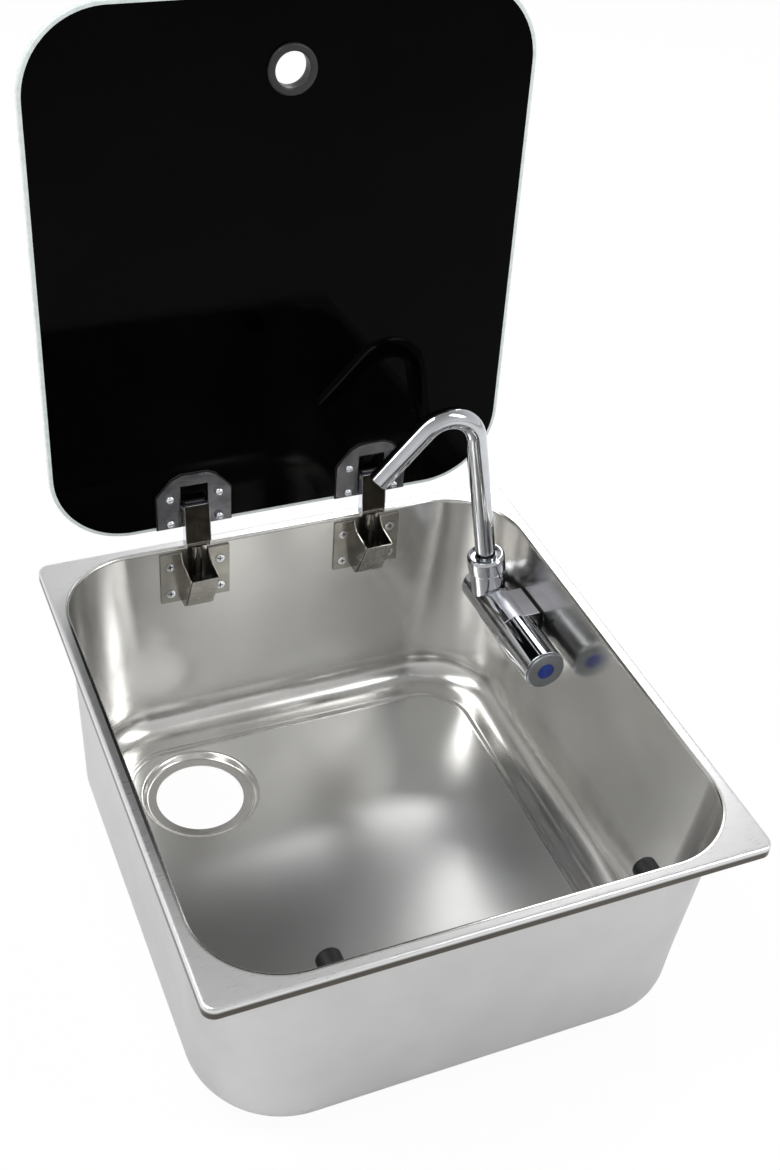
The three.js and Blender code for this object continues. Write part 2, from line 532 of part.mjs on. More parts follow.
housing = less(housing, [
  rod(CARTRIDGE_R + GAP, barrel, Yp, H0 - 1, H0 + CARTRIDGE_IN + GAP, 32),
  rod(SPIGOT_R + GAP, barrel, Yp, H1 - SPIGOT_BORE, H1 + 1, 32),
  rod(4, barrel, Yp, H0 + CARTRIDGE_IN - 1, H1 - SPIGOT_BORE + 1, 16),
  rod(4, tapAt, Xp, TAP_X, OX, 16),
]);
const wx = wallX(BARREL_Z);
const shankEnd = wx + SHEET + 16;
const shankHead = wx - GAP - GASKET - 0.5;
const shankHole = rod(SHANK_R + GAP, tapAt, Xp, shankHead - 3, wx + SHEET + 5, 32);
putTap('tap_housing', housing.subtract(shankHole), CHROME, 1, 0.1);
putTap('tap_gasket', prism([[wallAt(LOW) + 0.15, LOW + 0.5], [wallAt(FLAT_TOP) + 0.15, FLAT_TOP - 0.5],
  [wallAt(FLAT_TOP) + 0.15 - GASKET, FLAT_TOP - 0.5], [wallAt(LOW) + 0.15 - GASKET, LOW + 0.5]],
'y', H0 + 0.5, H1 - 0.5).subtract(shankHole), RUBBER, 0, 0.8);
bowl = bowl.subtract(shankHole);
const threads = [];
for (let x = wx + SHEET + 0.6; x + 1.5 < shankEnd; x += 2.4) {
  threads.push([SHANK_R, x], [SHANK_R - 0.6, x + 1.2]);
}
putTap('tap_shank', turned([[4.2, shankHead - 2.7], [SHANK_R, shankHead - 2.7], ...threads,
  [SHANK_R - 0.6, shankEnd],
  [4.2, shankEnd]], tapAt, Xp, 24), 0xb59a5a, 1, 0.3);
const WASHER_R = SHANK_R + 6;
const washer0 = wx + SHEET + WASHER_R * DRAFT_X / HEIGHT + 0.05;      // clears the leaning wall
const washer = ring(SHANK_R + GAP, WASHER_R, tapAt, Xp, washer0, washer0 + 1.5, 32);
putTap('tap_washer', washer, RUBBER, 0, 0.8);
const hexR = SHANK_R + 5.5;
const nut0 = washer0 + 1.5 + GAP;
const hex = Array.from({ length: 6 }, (_, i) => [
  TAP_Y + hexR * Math.cos(rad(60 * i)), BARREL_Z + hexR * Math.sin(rad(60 * i))]);
putTap('tap_lock_nut', prism(hex, 'x', nut0, nut0 + 6).intersect(turned([
  [0, nut0 - 0.5], [hexR - 1.9, nut0 - 0.5], [hexR + 0.5, nut0 + 1], [hexR + 0.5, nut0 + 5],
  [hexR - 1.9, nut0 + 6.5], [0, nut0 + 6.5]], tapAt, Xp, 32))
  .subtract(rod(SHANK_R + GAP, tapAt, Xp, nut0 - 1, nut0 + 8, 32)),
0xb59a5a, 1, 0.3);
putTap('tap_inlet_tail', turned([
  [3, shankEnd - 6], [3.9, shankEnd - 6], [3.9, shankEnd + GAP], [7, shankEnd + GAP], [7, shankEnd + 3],
  [5.2, shankEnd + 3.2], [5.2, shankEnd + 6], [6.2, shankEnd + 6.4], [5.2, shankEnd + 10],
  [6.2, shankEnd + 10.4], [5, shankEnd + 15], [3, shankEnd + 15]], tapAt, Xp, 24), 0xb59a5a, 1, 0.3);

// valve cartridge, its stem and the handle
const HB = H0 - GAP;          // handle, back and front
const HF = HB - HANDLE_LEN;
const HUB = HB - 21.7;        // its hub behind the cartridge's gland
const stemHole = STEM_R + GAP;
putTap('valve_cartridge', turned([
  [0, H0 + CARTRIDGE_IN], [CARTRIDGE_R, H0 + CARTRIDGE_IN], [CARTRIDGE_R, H0 - 6],
  [CARTRIDGE_R - 1.5, H0 - 6.6], [CARTRIDGE_R - 1.5, H0 - 14], [STEM_R, H0 - 14],
  [STEM_R, HF + 16], [1.5, HF + 16], [1.5, HF + 26], [0, HF + 26],
], barrel, Yp, 24), 0xb59a5a, 1, 0.35);
putTap('handle', turned([
  [stemHole, HF + 10.5], [2, HF + 10.5], [2, HF + 8.2], [HANDLE_R - 2.3, HF + 8.2], [HANDLE_R - 2.3, HF],
  [HANDLE_R - 0.6, HF], [HANDLE_R, HF + 0.6], [HANDLE_R, HB - 1], [HANDLE_R - 1, HB],
  [HANDLE_R - 2.5, HB], [HANDLE_R - 2.5, HUB], [stemHole, HUB],
], barrel, Yp, 32), CHROME, 1, 0.1);
putTap('handle_screw', turned([[0, HF + 21], [1.25, HF + 21], [1.25, HF + 7.9], [3.5, HF + 7.9],
  [3.5, HF + 6], [0, HF + 6]], barrel, Yp, 16), CHROME, 1, 0.3);
putTap('handle_cap', turned([[0, HF - 0.6], [MARK_R + GAP, HF - 0.6], [MARK_R + GAP, HF - 2.4],
  [HANDLE_R - 1.9, HF - 2.4], [HANDLE_R - 1.1, HF - 1.6], [HANDLE_R - 1.1, HF - GAP],
  [HANDLE_R - 2.6, HF - GAP], [HANDLE_R - 2.6, HF + 5], [HANDLE_R - 4.5, HF + 5],
  [HANDLE_R - 4.5, HF + 1.4], [0, HF + 1.4]], barrel, Yp, 28), 0x8a8e92, 1, 0.3);
putTap('cold_mark', turned([[0, HF - 0.9], [MARK_R, HF - 0.9], [MARK_R, HF - 2.6], [MARK_R - 0.8, HF - 3],
  [0, HF - 3]], barrel, Yp, 24), 0x1a3c9c, 0, 0.3);

// knuckle that folds about the barrel's axis and carries the spout
const leanR = rad(RISER_LEAN);
const riser = V(-Math.sin(leanR), 0, Math.cos(leanR));
const NECK_UP = BARREL_R + 14;
const riserAt = V(TAP_X, RISER_Y, BARREL_Z);
let knuckle = joined([
  turned([[0, K0 - SPIGOT_IN], [SPIGOT_R - 0.5, K0 - SPIGOT_IN], [SPIGOT_R, K0 - SPIGOT_IN + 0.6],
    [SPIGOT_R, K0 - 7.6], [SPIGOT_R - 1.5, K0 - 7.6], [SPIGOT_R - 1.5, K0 - 5], [SPIGOT_R, K0 - 5],
    [SPIGOT_R, K0], [KNUCKLE_R, K0], [KNUCKLE_R, K1 - 1.5], [KNUCKLE_R - 1.5, K1], [0, K1]],
  barrel, Yp, 32),
  rod(NECK_R, riserAt, riser, 0, NECK_UP, 32),
]);
knuckle = less(knuckle, [
  rod(BUSH_R + GAP, riserAt, riser, 8, NECK_UP + 9, 32),
  rod(4, barrel, Yp, K0 - SPIGOT_IN - 1, RISER_Y, 16),
  rod(4, riserAt, riser, 0, 9, 16),
]);
putTap('knuckle', knuckle, CHROME, 1, 0.1);
putTap('o_ring', turned(arc(SPIGOT_R - 0.55, K0 - 6.3, 0.8, 0, 360, 8).slice(0, 8), barrel, Yp, 20),
  RUBBER, 0, 0.7);
const tubeHole = TUBE_R + GAP;
putTap('spout_bush', turned([[tubeHole, 8.6], [BUSH_R, 8.6], [BUSH_R, NECK_UP - 0.4],
  [tubeHole, NECK_UP - 0.4]], riserAt, riser, 32), PLASTIC, 0, 0.5);
const N0 = NECK_UP + GAP;     // collar, lower and upper end
const N1 = N0 + COLLAR_H;
putTap('collar_nut', turned([
  [tubeHole, N0 + 2.2], [tubeHole, N1 - 3], [NECK_R - 2, N1 - 3], [NECK_R - 1.5, N1 - 0.2],
  [NECK_R - 0.3, N1], [NECK_R + 1.5, N1 - 2.2], [NECK_R + 1.5, N0 + 1.7], [NECK_R + 0.9, N0],
  [NECK_R + 0.4, N0], [NECK_R + 0.4, N0 + 2.2]], riserAt, riser, 32), CHROME, 1, 0.1);

// spout: straight riser, bend towards the bowl, short outlet
const sidew = V(-riser.z, 0, riser.x);                   // the bend turns towards this side
const SPOUT_START = 9;
// Tube swept in its own plane: stations with exact directions, outer and inner skin.
function tube(r0, r1, n) {
  const stations = [];
  const push = (along, side, a) => stations.push([along, side, a]);
  push(SPOUT_START, 0, 0);
  push(NECK_UP + 3, 0, 0);
  push(RISER_LEN, 0, 0);
  const steps = 13;
  for (let i = 1; i <= steps; i++) {
    const a = rad(BEND_DEG) * i / steps;
    push(RISER_LEN + BEND_R * Math.sin(a), BEND_R * (1 - Math.cos(a)), a);
  }
  const a = rad(BEND_DEG);
  push(RISER_LEN + BEND_R * Math.sin(a) + OUTLET_LEN * Math.cos(a),
    BEND_R * (1 - Math.cos(a)) + OUTLET_LEN * Math.sin(a), a);
  const skin = (r, extra) => loft(stations.map(([u, w, b], k) => {
    const e = k === 0 ? -extra : (k === stations.length - 1 ? extra : 0);
    const uu = u + e * Math.cos(b);
    const ww = w + e * Math.sin(b);
    return Array.from({ length: n }, (_, i) => {
      const t = 2 * Math.PI * i / n;
      return riserAt.clone()
        .addScaledVector(riser, uu - r * Math.cos(t) * Math.sin(b))
        .addScaledVector(sidew, ww + r * Math.cos(t) * Math.cos(b))
        .addScaledVector(Yp, r * Math.sin(t));
    });
  }));
  return skin(r0, 0).subtract(skin(r1, 1));
}
putTap('spout', tube(TUBE_R, TUBE_R - TUBE_WALL, 20), CHROME, 1, 0.08);
put('sink_bowl', bowl, STEEL, 1, 0.3);

export default model;
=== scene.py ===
"""Looks for a caravan sink with a fold-down black glass lid and a folding cold tap."""
import math

import bmesh
import bpy
from mathutils import Matrix, Vector

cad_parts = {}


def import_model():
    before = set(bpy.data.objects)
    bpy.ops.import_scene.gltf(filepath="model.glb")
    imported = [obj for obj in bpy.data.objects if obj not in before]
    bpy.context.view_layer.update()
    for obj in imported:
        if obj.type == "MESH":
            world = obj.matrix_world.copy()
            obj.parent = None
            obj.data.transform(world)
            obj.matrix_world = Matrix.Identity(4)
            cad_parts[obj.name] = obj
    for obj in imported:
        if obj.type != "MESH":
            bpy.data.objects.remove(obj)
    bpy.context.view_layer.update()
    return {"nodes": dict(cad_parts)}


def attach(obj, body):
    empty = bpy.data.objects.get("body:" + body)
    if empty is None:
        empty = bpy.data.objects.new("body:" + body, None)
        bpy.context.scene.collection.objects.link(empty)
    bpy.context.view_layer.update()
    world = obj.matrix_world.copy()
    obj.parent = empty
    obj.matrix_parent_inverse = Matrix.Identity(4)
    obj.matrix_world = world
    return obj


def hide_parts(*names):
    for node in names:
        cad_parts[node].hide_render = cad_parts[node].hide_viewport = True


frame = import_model()
NODES = frame["nodes"]

# ---- sizes in millimetres, the same as the CAD's ----
# Bowl: X runs to the right, Y to the hinges, Z up from the underside of its floor panel.
TOP = 188.0                                 # top of the rim
HX, HY = 200.0, 220.0                       # half the rim's width and depth
OX, OY = 189.5, 209.5                       # half the mouth's
DRAFT_X, DRAFT_Y = 3.5, 6.5                 # how far the walls lean in on the way down
OPEN_R, LOW_R, FLOOR_R = 60.0, 70.0, 26.0   # corners at the mouth and at the floor, fillet round the floor
LEDGE, STEP = 6.0, 1.5                      # the raised border of the floor: its width and height
SHEET = 1.0
RIM_R, SKIRT = 9.0, 9.0                     # the rim's outer corners and its down-turned edge
LIP = 2.2                                   # where the rounded lip of the mouth turns flat
DRAIN = (-99.0, 117.0)
# Lid: open, leaning back a little, measured up from its lower edge.
LID_EDGE_Y, LID_EDGE_UP, LID_LEAN = 209.7, 20.8, 2.37
LID_W, LID_H, LID_T, LID_R = 373.0, 411.0, 5.0, 62.0
FINGER_UP, FINGER_R = 358.0, 12.5
GROMMET_GAP = 0.3                           # between a grommet half's flange and the glass
# Hinges, from the lid's lower edge or from the top of the rim.
PIN_UP, PIN_OUT, PIN_R = 20.0, 4.5, 2.0
ROD_Y, ROD_R, ROD_PIN_Z = 201.5, 4.0, TOP + 9.29
PLATE_N0, PLATE_N1, PLATE_H0 = 1.1, 2.2, 1.2
PIN_HOLE_R, STUD_HOLE_R = 2.1, 2.2
CHEEK_IN, CHEEK_OUT = 9.5, 10.4
BOX_IN, BOX_OUT, BOX_WING, BOX_T = 11.0, 12.2, 29.0, 1.5
BOX_TOP, BOX_BOTTOM, COVER_TOP = TOP - 4, TOP - 52, TOP - 12.5
SCREWS = [(sx * 21.0, TOP - d) for sx in (-1, 1) for d in (16.5, 43.5)]
STUDS = [(sx * 20.0, h) for sx in (-1, 1) for h in (6.8, 29.6)]
HINGE_X = 75.0
# Bumpers in the front wall.
BUMPER_X, BUMPER_R, BUMPER_DOWN = 113.0, 8.5, 5.3
# Tap.
TAP_X, TAP_Y, TAP_Z, TAP_TURN = 166.5, 112.0, TOP - 61, -2.5
RISER_Y, RISER_LEAN, RISER_LEN = 146.0, 10.0, 166.0
TUBE_R, BEND_R, BEND_DEG, OUTLET_LEN = 8.5, 26.0, 126.5, 54.6
BARREL_R, BARREL_FLAT, BARREL_HALF = 17.0, 15.2, 18.0
HANDLE_R, HANDLE_LEN, HANDLE_GAP = 17.5, 51.7, 0.3


def wall_x(z):
    """Half the inside width of the bowl at a height."""
    return OX - DRAFT_X * (TOP - z) / TOP


def wall_y(z):
    """Half the inside depth of the bowl at a height."""
    return OY - DRAFT_Y * (TOP - z) / TOP


# ---- finishes ----
EVEN = (1, 1, 1)
DRAWN_X, DRAWN_Z = (0.1, 1, 1), (1, 1, 0.1)   # grain ten times as long along X or Z
CLOUDS = (0.3, 0.7)                           # nearly all of a noise pattern lies between these


def linear(code):
    """An sRGB hex code as linear colour."""
    out = []
    for i in (0, 2, 4):
        c = int(code[i:i + 2], 16) / 255
        out.append(c / 12.92 if c <= 0.04045 else ((c + 0.055) / 1.055) ** 2.4)
    return (*out, 1.0)


def node(tree, kind, inputs=None, **settings):
    """Adds a node with its settings, and gives each socket named a value or a link."""
    made = tree.nodes.new("ShaderNode" + kind)
    for key, value in settings.items():
        setattr(made, key, value)
    for socket, value in (inputs or {}).items():
        if isinstance(value, bpy.types.NodeSocket):
            tree.links.new(value, made.inputs[socket])
        else:
            made.inputs[socket].default_value = value
    return made


def finish(name, metallic, colour, gloss, relief=(), specular=0.5, spread=CLOUDS):
    """A material whose colour, gloss and relief each follow a soft pattern in the object's own millimetres.

    A pattern is (cell in mm, stretch, detail). `colour` is (pattern, dark, light), `gloss` is (pattern,
    lowest roughness, highest) or one roughness all over, and `relief` lists (pattern, height in mm).
    """
    mat = bpy.data.materials.new(name)
    mat.use_nodes = True
    tree = mat.node_tree
    shader = tree.nodes["Principled BSDF"].inputs
    shader["Metallic"].default_value = metallic
    shader["Specular IOR Level"].default_value = specular
    place = node(tree, "TexCoord").outputs["Object"]

    def follow(pattern):
        cell, stretch, detail = pattern
        drawn = node(tree, "Mapping", {"Vector": place, "Scale": stretch})
        return node(tree, "TexNoise", {"Vector": drawn.outputs["Vector"], "Scale": 1000 / cell,
                                       "Detail": detail}).outputs["Fac"]

    if colour:
        pattern, dark, light = colour
        shade = node(tree, "ValToRGB", {"Fac": follow(pattern)})
        for end, at, code in zip(shade.color_ramp.elements, spread, (dark, light)):
            end.position, end.color = at, linear(code)
        tree.links.new(shade.outputs["Color"], shader["Base Color"])
    if isinstance(gloss, float):
        shader["Roughness"].default_value = gloss
    else:
        pattern, low, high = gloss
        span = node(tree, "MapRange", {"Value": follow(pattern), "From Min": CLOUDS[0], "From Max": CLOUDS[1],
                                       "To Min": low, "To Max": high})
        tree.links.new(span.outputs["Result"], shader["Roughness"])
    normal = None
    for pattern, height in relief:
        bump = node(tree, "Bump", {"Strength": 1.0, "Distance": height / 1000, "Height": follow(pattern)})
        if normal:
            tree.links.new(normal, bump.inputs["Normal"])
        normal = bump.outputs["Normal"]
    if normal:
        tree.links.new(normal, shader["Normal"])
    return mat


def rim_steel():
    """Stainless brushed along the front edge: soft streaks on top, and a dark band of painted shade where it
    turns down.

    The real brushing is some hundredths of a millimetre wide, and is drawn 0.9 mm wide so that it shows.
    """
    brushing = (0.9091, (0.08, 1, 1), 2)
    mat = finish("brushed rim stainless with painted edge shade", 1.0, None, (brushing, 0.27, 0.36), [(brushing, 0.0012)])
    tree = mat.node_tree
    # below the top the colour turns dark brown-grey: painted shade on the turned-down skirt
    axes = node(tree, "SeparateXYZ", {0: node(tree, "TexCoord").outputs["Object"]})
    painted_shade_band = node(tree, "MapRange", {"Value": axes.outputs["Z"], "From Min": (TOP - 4.0) / 1000,
                                   "From Max": (TOP - 1.5) / 1000})
    shade = node(tree, "ValToRGB", {"Fac": painted_shade_band.outputs["Result"]})
    for end, code in zip(shade.color_ramp.elements, ("4A4640", "E2E2E3")):
        end.color = linear(code)
    tree.links.new(shade.outputs["Color"], tree.nodes["Principled BSDF"].inputs["Base Color"])
    return mat


def moulded(name, dark, light, low, high, texture=0.02, specular=0.5):
    """A moulded plastic or rubber: one colour, with a fine spark-eroded texture that breaks up its shine."""
    return finish(name, 0.0, ((6.6667, EVEN, 3), dark, light), ((1.6667, EVEN, 3), low, high),
                  [((0.4, EVEN, 3), texture)], specular)


def plated(name, dark, light, low, high, wave=0.05):
    """A polished or plated metal: mirror-like, wavering a little where the polishing wheel passed."""
    return finish(name, 1.0, ((20, EVEN, 3), dark, light), ((12.5, EVEN, 3), low, high),
                  [((25, EVEN, 1), wave)])


def stamped(name, dark, light, low, high, stretch=DRAWN_X):
    """A stamped sheet: rolling grain, drawn 0.8 mm wide so that it shows, over faint dents."""
    grain = (0.8333, stretch, 3)
    return finish(name, 1.0, ((12.5, EVEN, 6), dark, light), (grain, low, high),
                  [(grain, 0.003), ((10, EVEN, 3), 0.03)])


# Deep-drawn stainless with a satin polish: broad, soft reflections that wander as the sheet does.
SMEAR = (83.333, EVEN, 4)
STEEL_IN = finish("satin stainless", 1.0, (SMEAR, "D0CFCC", "DEDDDB"), (SMEAR, 0.17, 0.25),
                  [((90.909, EVEN, 1), 0.2), ((1.1111, (1, 1, 0.06), 2), 0.0006)])
# The same sheet on the floor, dulled by the press: wide, milky highlights.
STEEL_FLOOR = finish("matt floor stainless", 1.0, ((66.667, EVEN, 1), "D6D6D5", "E6E6E5"), 0.28,
                     [((111.11, EVEN, 1), 0.3)], spread=(0.1, 0.9))
# Rim: brushed stainless, with painted shade darkening its turned-down skirt.
STEEL_RIM_PAINTED_SHADE = rim_steel()
# The unpolished outside of the pan: flat, even grey with hardly any reflection.
STEEL_OUT = finish("matt pressed stainless", 1.0, ((50, EVEN, 2), "C4C4C4", "C9C9C9"),
                   ((20, EVEN, 3), 0.48, 0.53), [((0.7143, EVEN, 3), 0.004)])
# Tempered glass, enamelled black on its back: deep black, with a faint, sharp reflection that bends with the
# waves of its rollers.
GLASS = finish("black tempered glass", 0.0, ((100, EVEN, 3), "010101", "030303"),
               ((33.333, EVEN, 3), 0.035, 0.07), [((166.67, EVEN, 0), 0.08)], specular=0.035)
# Its ground edge: pale, milky green-grey.
GLASS_EDGE = finish("ground glass edge", 0.0, ((5, EVEN, 3), "C9D2D1", "DCE3E2"), ((2, EVEN, 3), 0.15, 0.3))
# Rubber: near black and dull.
RUBBER = moulded("EPDM rubber", "0A0A0C", "121316", 0.42, 0.58, 0.03, 0.3)
# Plastics: black with a soft shine, the foam of the pads the dullest.
GROMMET = moulded("black moulded grommet", "161616", "212121", 0.38, 0.5, 0.02)
PLASTIC = moulded("black acetal", "1C1C1E", "262628", 0.35, 0.5)
# The pads' black also fills the screws' driver slots as painted shade.
BLACK_PAD_AND_SLOT_SHADE = moulded("black foam pad and painted slot shade", "0E0E10", "18181A", 0.6, 0.75, 0.05)
# Enamel: the cold mark, blue and shiny.
BLUE = moulded("blue enamel mark", "14308A", "1E44B0", 0.12, 0.2, 0.005)
# Satin-plated cap: plain grey.
CAP = plated("satin grey cap", "888C90", "989CA0", 0.28, 0.36)
# Chrome plate on brass: dark and light bands with hard edges, and a milky, brushed flat on top of the body
# whose lighter colour is painted light from above.
CHROME = plated("chrome plate", "B6B8BC", "C8CACE", 0.03, 0.07)
CHROME_TOP_PAINTED_LIGHT = plated("brushed chrome top with painted light", "E0E0E8", "EAEAF0", 0.34, 0.42)
# Zinc-plated steel: small bright glints on screws, studs, pins and cheeks.
BRIGHT = plated("bright zinc steel", "D8DADE", "E8EAEE", 0.1, 0.18)
# The hinges' sheets: dark brackets, webs coloured dark as painted shade, warmer and lighter boxes and covers.
BRACKET = stamped("dark stamped steel", "606064", "808084", 0.12, 0.22)
WALLPLATE = stamped("satin nickel steel", "96938C", "B4B1AA", 0.16, 0.26)
COVERMAT = stamped("satin cover steel", "B0ADA6", "C8C5BE", 0.18, 0.28, DRAWN_Z)
# The arm's web: its dark colour is painted shade inside the channel between the cheeks.
WEB_PAINTED_SHADE = stamped("arm web steel, dark as painted shade", "3C3832", "5C574E", 0.14, 0.26, DRAWN_Z)
# Turned steel rods with a film of oil: brownish grey.
RODMAT = plated("oiled steel rod", "6E6A64", "8A867E", 0.2, 0.3)
# Turned brass: the parts of the tap behind the wall.
BRASS = plated("turned brass", "B08A48", "C9A25C", 0.2, 0.3)

# ---- modelling helpers ----
UP, XP, YP = Vector((0, 0, 1)), Vector((1, 0, 0)), Vector((0, 1, 0))


def basis(x, y, z, at=(0, 0, 0)):
    m = Matrix((x, y, z)).transposed().to_4x4()
    m.translation = Vector(at)
    return m


YZ = basis(YP, UP, XP)    # local x, y, z as Y, Z, X
XZ = basis(XP, UP, -YP)   # local x, y, z as X, Z, -Y


def leaning(angle, at):
    """A frame on an upright sheet that leans back: local x across it, y up it, z out of its front."""
    s, c = math.sin(angle), math.cos(angle)
    return basis(XP, Vector((0, s, c)), Vector((0, -c, s)), at)


def aimed(at, direction):
    """A frame whose local Z runs along the direction."""
    m = UP.rotation_difference(Vector(direction).normalized()).to_matrix().to_4x4()
    m.translation = Vector(at)
    return m


def verts_of(result):
    return [g for g in result["geom"] if isinstance(g, bmesh.types.BMVert)]


def loop_edges(bm, loop):
    return [bm.edges.get((a, b)) for a, b in zip(loop, [*loop[1:], loop[0]])]


def first_loop(bm, places):
    loop = bmesh.ops.create_circle(bm, segments=len(places), radius=1)["verts"]
    for v, p in zip(loop, places):
        v.co = p
    return loop


def extrude_loop(bm, loop, places):
    """Extrudes a closed loop of vertices in order and moves the new ones to `places`."""
    start = {tuple(round(c, 5) for c in v.co): i for i, v in enumerate(loop)}
    out = [None] * len(loop)
    for v in verts_of(bmesh.ops.extrude_edge_only(bm, edges=loop_edges(bm, loop))):
        out[start[tuple(round(c, 5) for c in v.co)]] = v
    for v, p in zip(out, places):
        v.co = p
    return out


def fill_between(bm, *loops):
    edges = [e for loop in loops for e in loop_edges(bm, loop)]
    return [g for g in bmesh.ops.triangle_fill(bm, use_beauty=True, edges=edges)["geom"]
            if isinstance(g, bmesh.types.BMFace)]


def circle(cx, cy, r, n=24):
    return [(cx + r * math.cos(math.tau * i / n), cy + r * math.sin(math.tau * i / n)) for i in range(n)]


def arc(cx, cy, r, a0, a1, n):
    turns = [math.radians(a0 + (a1 - a0) * i / n) for i in range(n + 1)]
    return [(cx + r * math.cos(a), cy + r * math.sin(a)) for a in turns]


def ringed(cx, cy, r, z, n):
    return [Vector((x, y, z)) for x, y in circle(cx, cy, r, n)]


def rounded(hx, hy, r, z, k, cy=0.0):
    """Points of a rounded rectangle, k in each corner."""
    out = []
    for q, (sx, sy) in enumerate(((1, 1), (-1, 1), (-1, -1), (1, -1))):
        for i in range(k):
            a = math.radians(90 * q + 90 * i / (k - 1))
            out.append(Vector((sx * (hx - r) + r * math.cos(a), cy + sy * (hy - r) + r * math.sin(a), z)))
    return out


def spun(bm, profile, matrix, steps=64):
    """Adds a revolved solid: (radius, along) points about the local Z."""
    verts = [bm.verts.new((p[0], 0, p[1])) for p in profile]
    edges = [bm.edges.new((a, b)) for a, b in zip(verts, verts[1:])]
    if profile[0][0] > 0:
        edges.append(bm.edges.new((verts[-1], verts[0])))
    before = set(bm.verts) - set(verts)
    bmesh.ops.spin(bm, geom=verts + edges, cent=(0, 0, 0), axis=(0, 0, 1), angle=math.tau, steps=steps,
                   use_merge=True)
    mine = [v for v in bm.verts if v not in before]
    bmesh.ops.remove_doubles(bm, verts=mine, dist=1e-4)
    mine = [v for v in bm.verts if v not in before]
    bmesh.ops.transform(bm, matrix=matrix, verts=mine)


def plate(bm, outline, holes, low, high, matrix=Matrix()):
    """Adds a flat plate with holes, from local z low to high."""
    before = set(bm.verts)
    loops = []
    for pts in (outline, *holes):
        vs = [bm.verts.new((p[0], p[1], low)) for p in pts]
        for a, b in zip(vs, [*vs[1:], vs[0]]):
            bm.edges.new((a, b))
        loops.append(vs)
    made = bmesh.ops.extrude_face_region(bm, geom=fill_between(bm, *loops), use_keep_orig=True)
    bmesh.ops.translate(bm, vec=(0, 0, high - low), verts=verts_of(made))
    bmesh.ops.transform(bm, matrix=matrix, verts=[v for v in bm.verts if v not in before])


def done(bm, name, body, replaced, materials, bevel=0.0, angle=38, turn=None):
    """Turns a bmesh in millimetres into a finished piece in metres.

    `bevel` is the width of its edges in mm, and `angle` is where an edge starts to be a sharp one.
    """
    bmesh.ops.recalc_face_normals(bm, faces=bm.faces)
    if turn:
        bmesh.ops.transform(bm, matrix=turn, verts=bm.verts)
    bmesh.ops.scale(bm, vec=(0.001, 0.001, 0.001), verts=bm.verts)
    for f in bm.faces:
        f.smooth = True
    mesh = bpy.data.meshes.new(name)
    bm.to_mesh(mesh)
    bm.free()
    mesh.set_sharp_from_angle(angle=math.radians(angle))
    ob = bpy.data.objects.new(name, mesh)
    bpy.context.scene.collection.objects.link(ob)
    for m in materials:
        mesh.materials.append(m)
    if bevel:
        b = ob.modifiers.new("edge", "BEVEL")
        b.width = bevel / 1000
        b.segments = 2
        b.limit_method = "ANGLE"
        b.angle_limit = math.radians(angle)
        b.harden_normals = True
    w = ob.modifiers.new("flat faces", "WEIGHTED_NORMAL")
    w.keep_sharp = True
    w.weight = 60
    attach(ob, body)
    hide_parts(*replaced)


# ---- bowl ----
BOWL_CORNER = 22                                       # points in each corner of the bowl
FOOT = ((6.4, 0.0), (5.0, 0.03), (3.9, 0.2), (2.6, 0.75), (1.3, 1.3), (0.2, 1.47), (-1.2, STEP))


def mouth_loop(x, z):
    """A section of the mouth's lip, x out from the middle, the same distance wider all round."""
    return rounded(x, x + OY - OX, OPEN_R + x - OX, z, BOWL_CORNER)


def rim_loop(inset, down):
    return rounded(HX - inset, HY - inset, RIM_R - inset, TOP - down, BOWL_CORNER)


def bowl_sections(off):
    """Sections of one face of the pan, floor panel first: off is 0 inside and SHEET outside."""
    fillet = FLOOR_R - SHEET + off
    base = SHEET - off
    zf = base + STEP + fillet
    ex, ey = wall_x(zf) + off, wall_y(zf) + off
    flat = fillet + LEDGE
    r = LOW_R + off - fillet
    out = []
    # the foot of the step round the floor panel: (inwards, up)
    for t, h in FOOT:
        inset = flat + t - 1.0
        out.append(rounded(ex - inset, ey - inset, r - LEDGE + 4 - t, base + h, BOWL_CORNER))
    # the fillet, from flat to upright
    for i in range(13):
        a = math.radians(90 - 7.5 * i)
        inset = fillet * (1 - math.cos(a))
        z = zf - fillet * math.sin(a)
        out.append(rounded(ex - inset, ey - inset, LOW_R + off - inset, z, BOWL_CORNER))
    # the walls, whose corners tighten smoothly on the way up
    for f in (0.12, 0.25, 0.4, 0.55, 0.7, 0.85, 0.95):
        z = zf + f * (TOP - 3 - zf)
        corner = LOW_R + off + f * f * (3 - 2 * f) * (OPEN_R - LOW_R)
        out.append(rounded(wall_x(z) + off, wall_y(z) + off, corner, z, BOWL_CORNER))
    return out


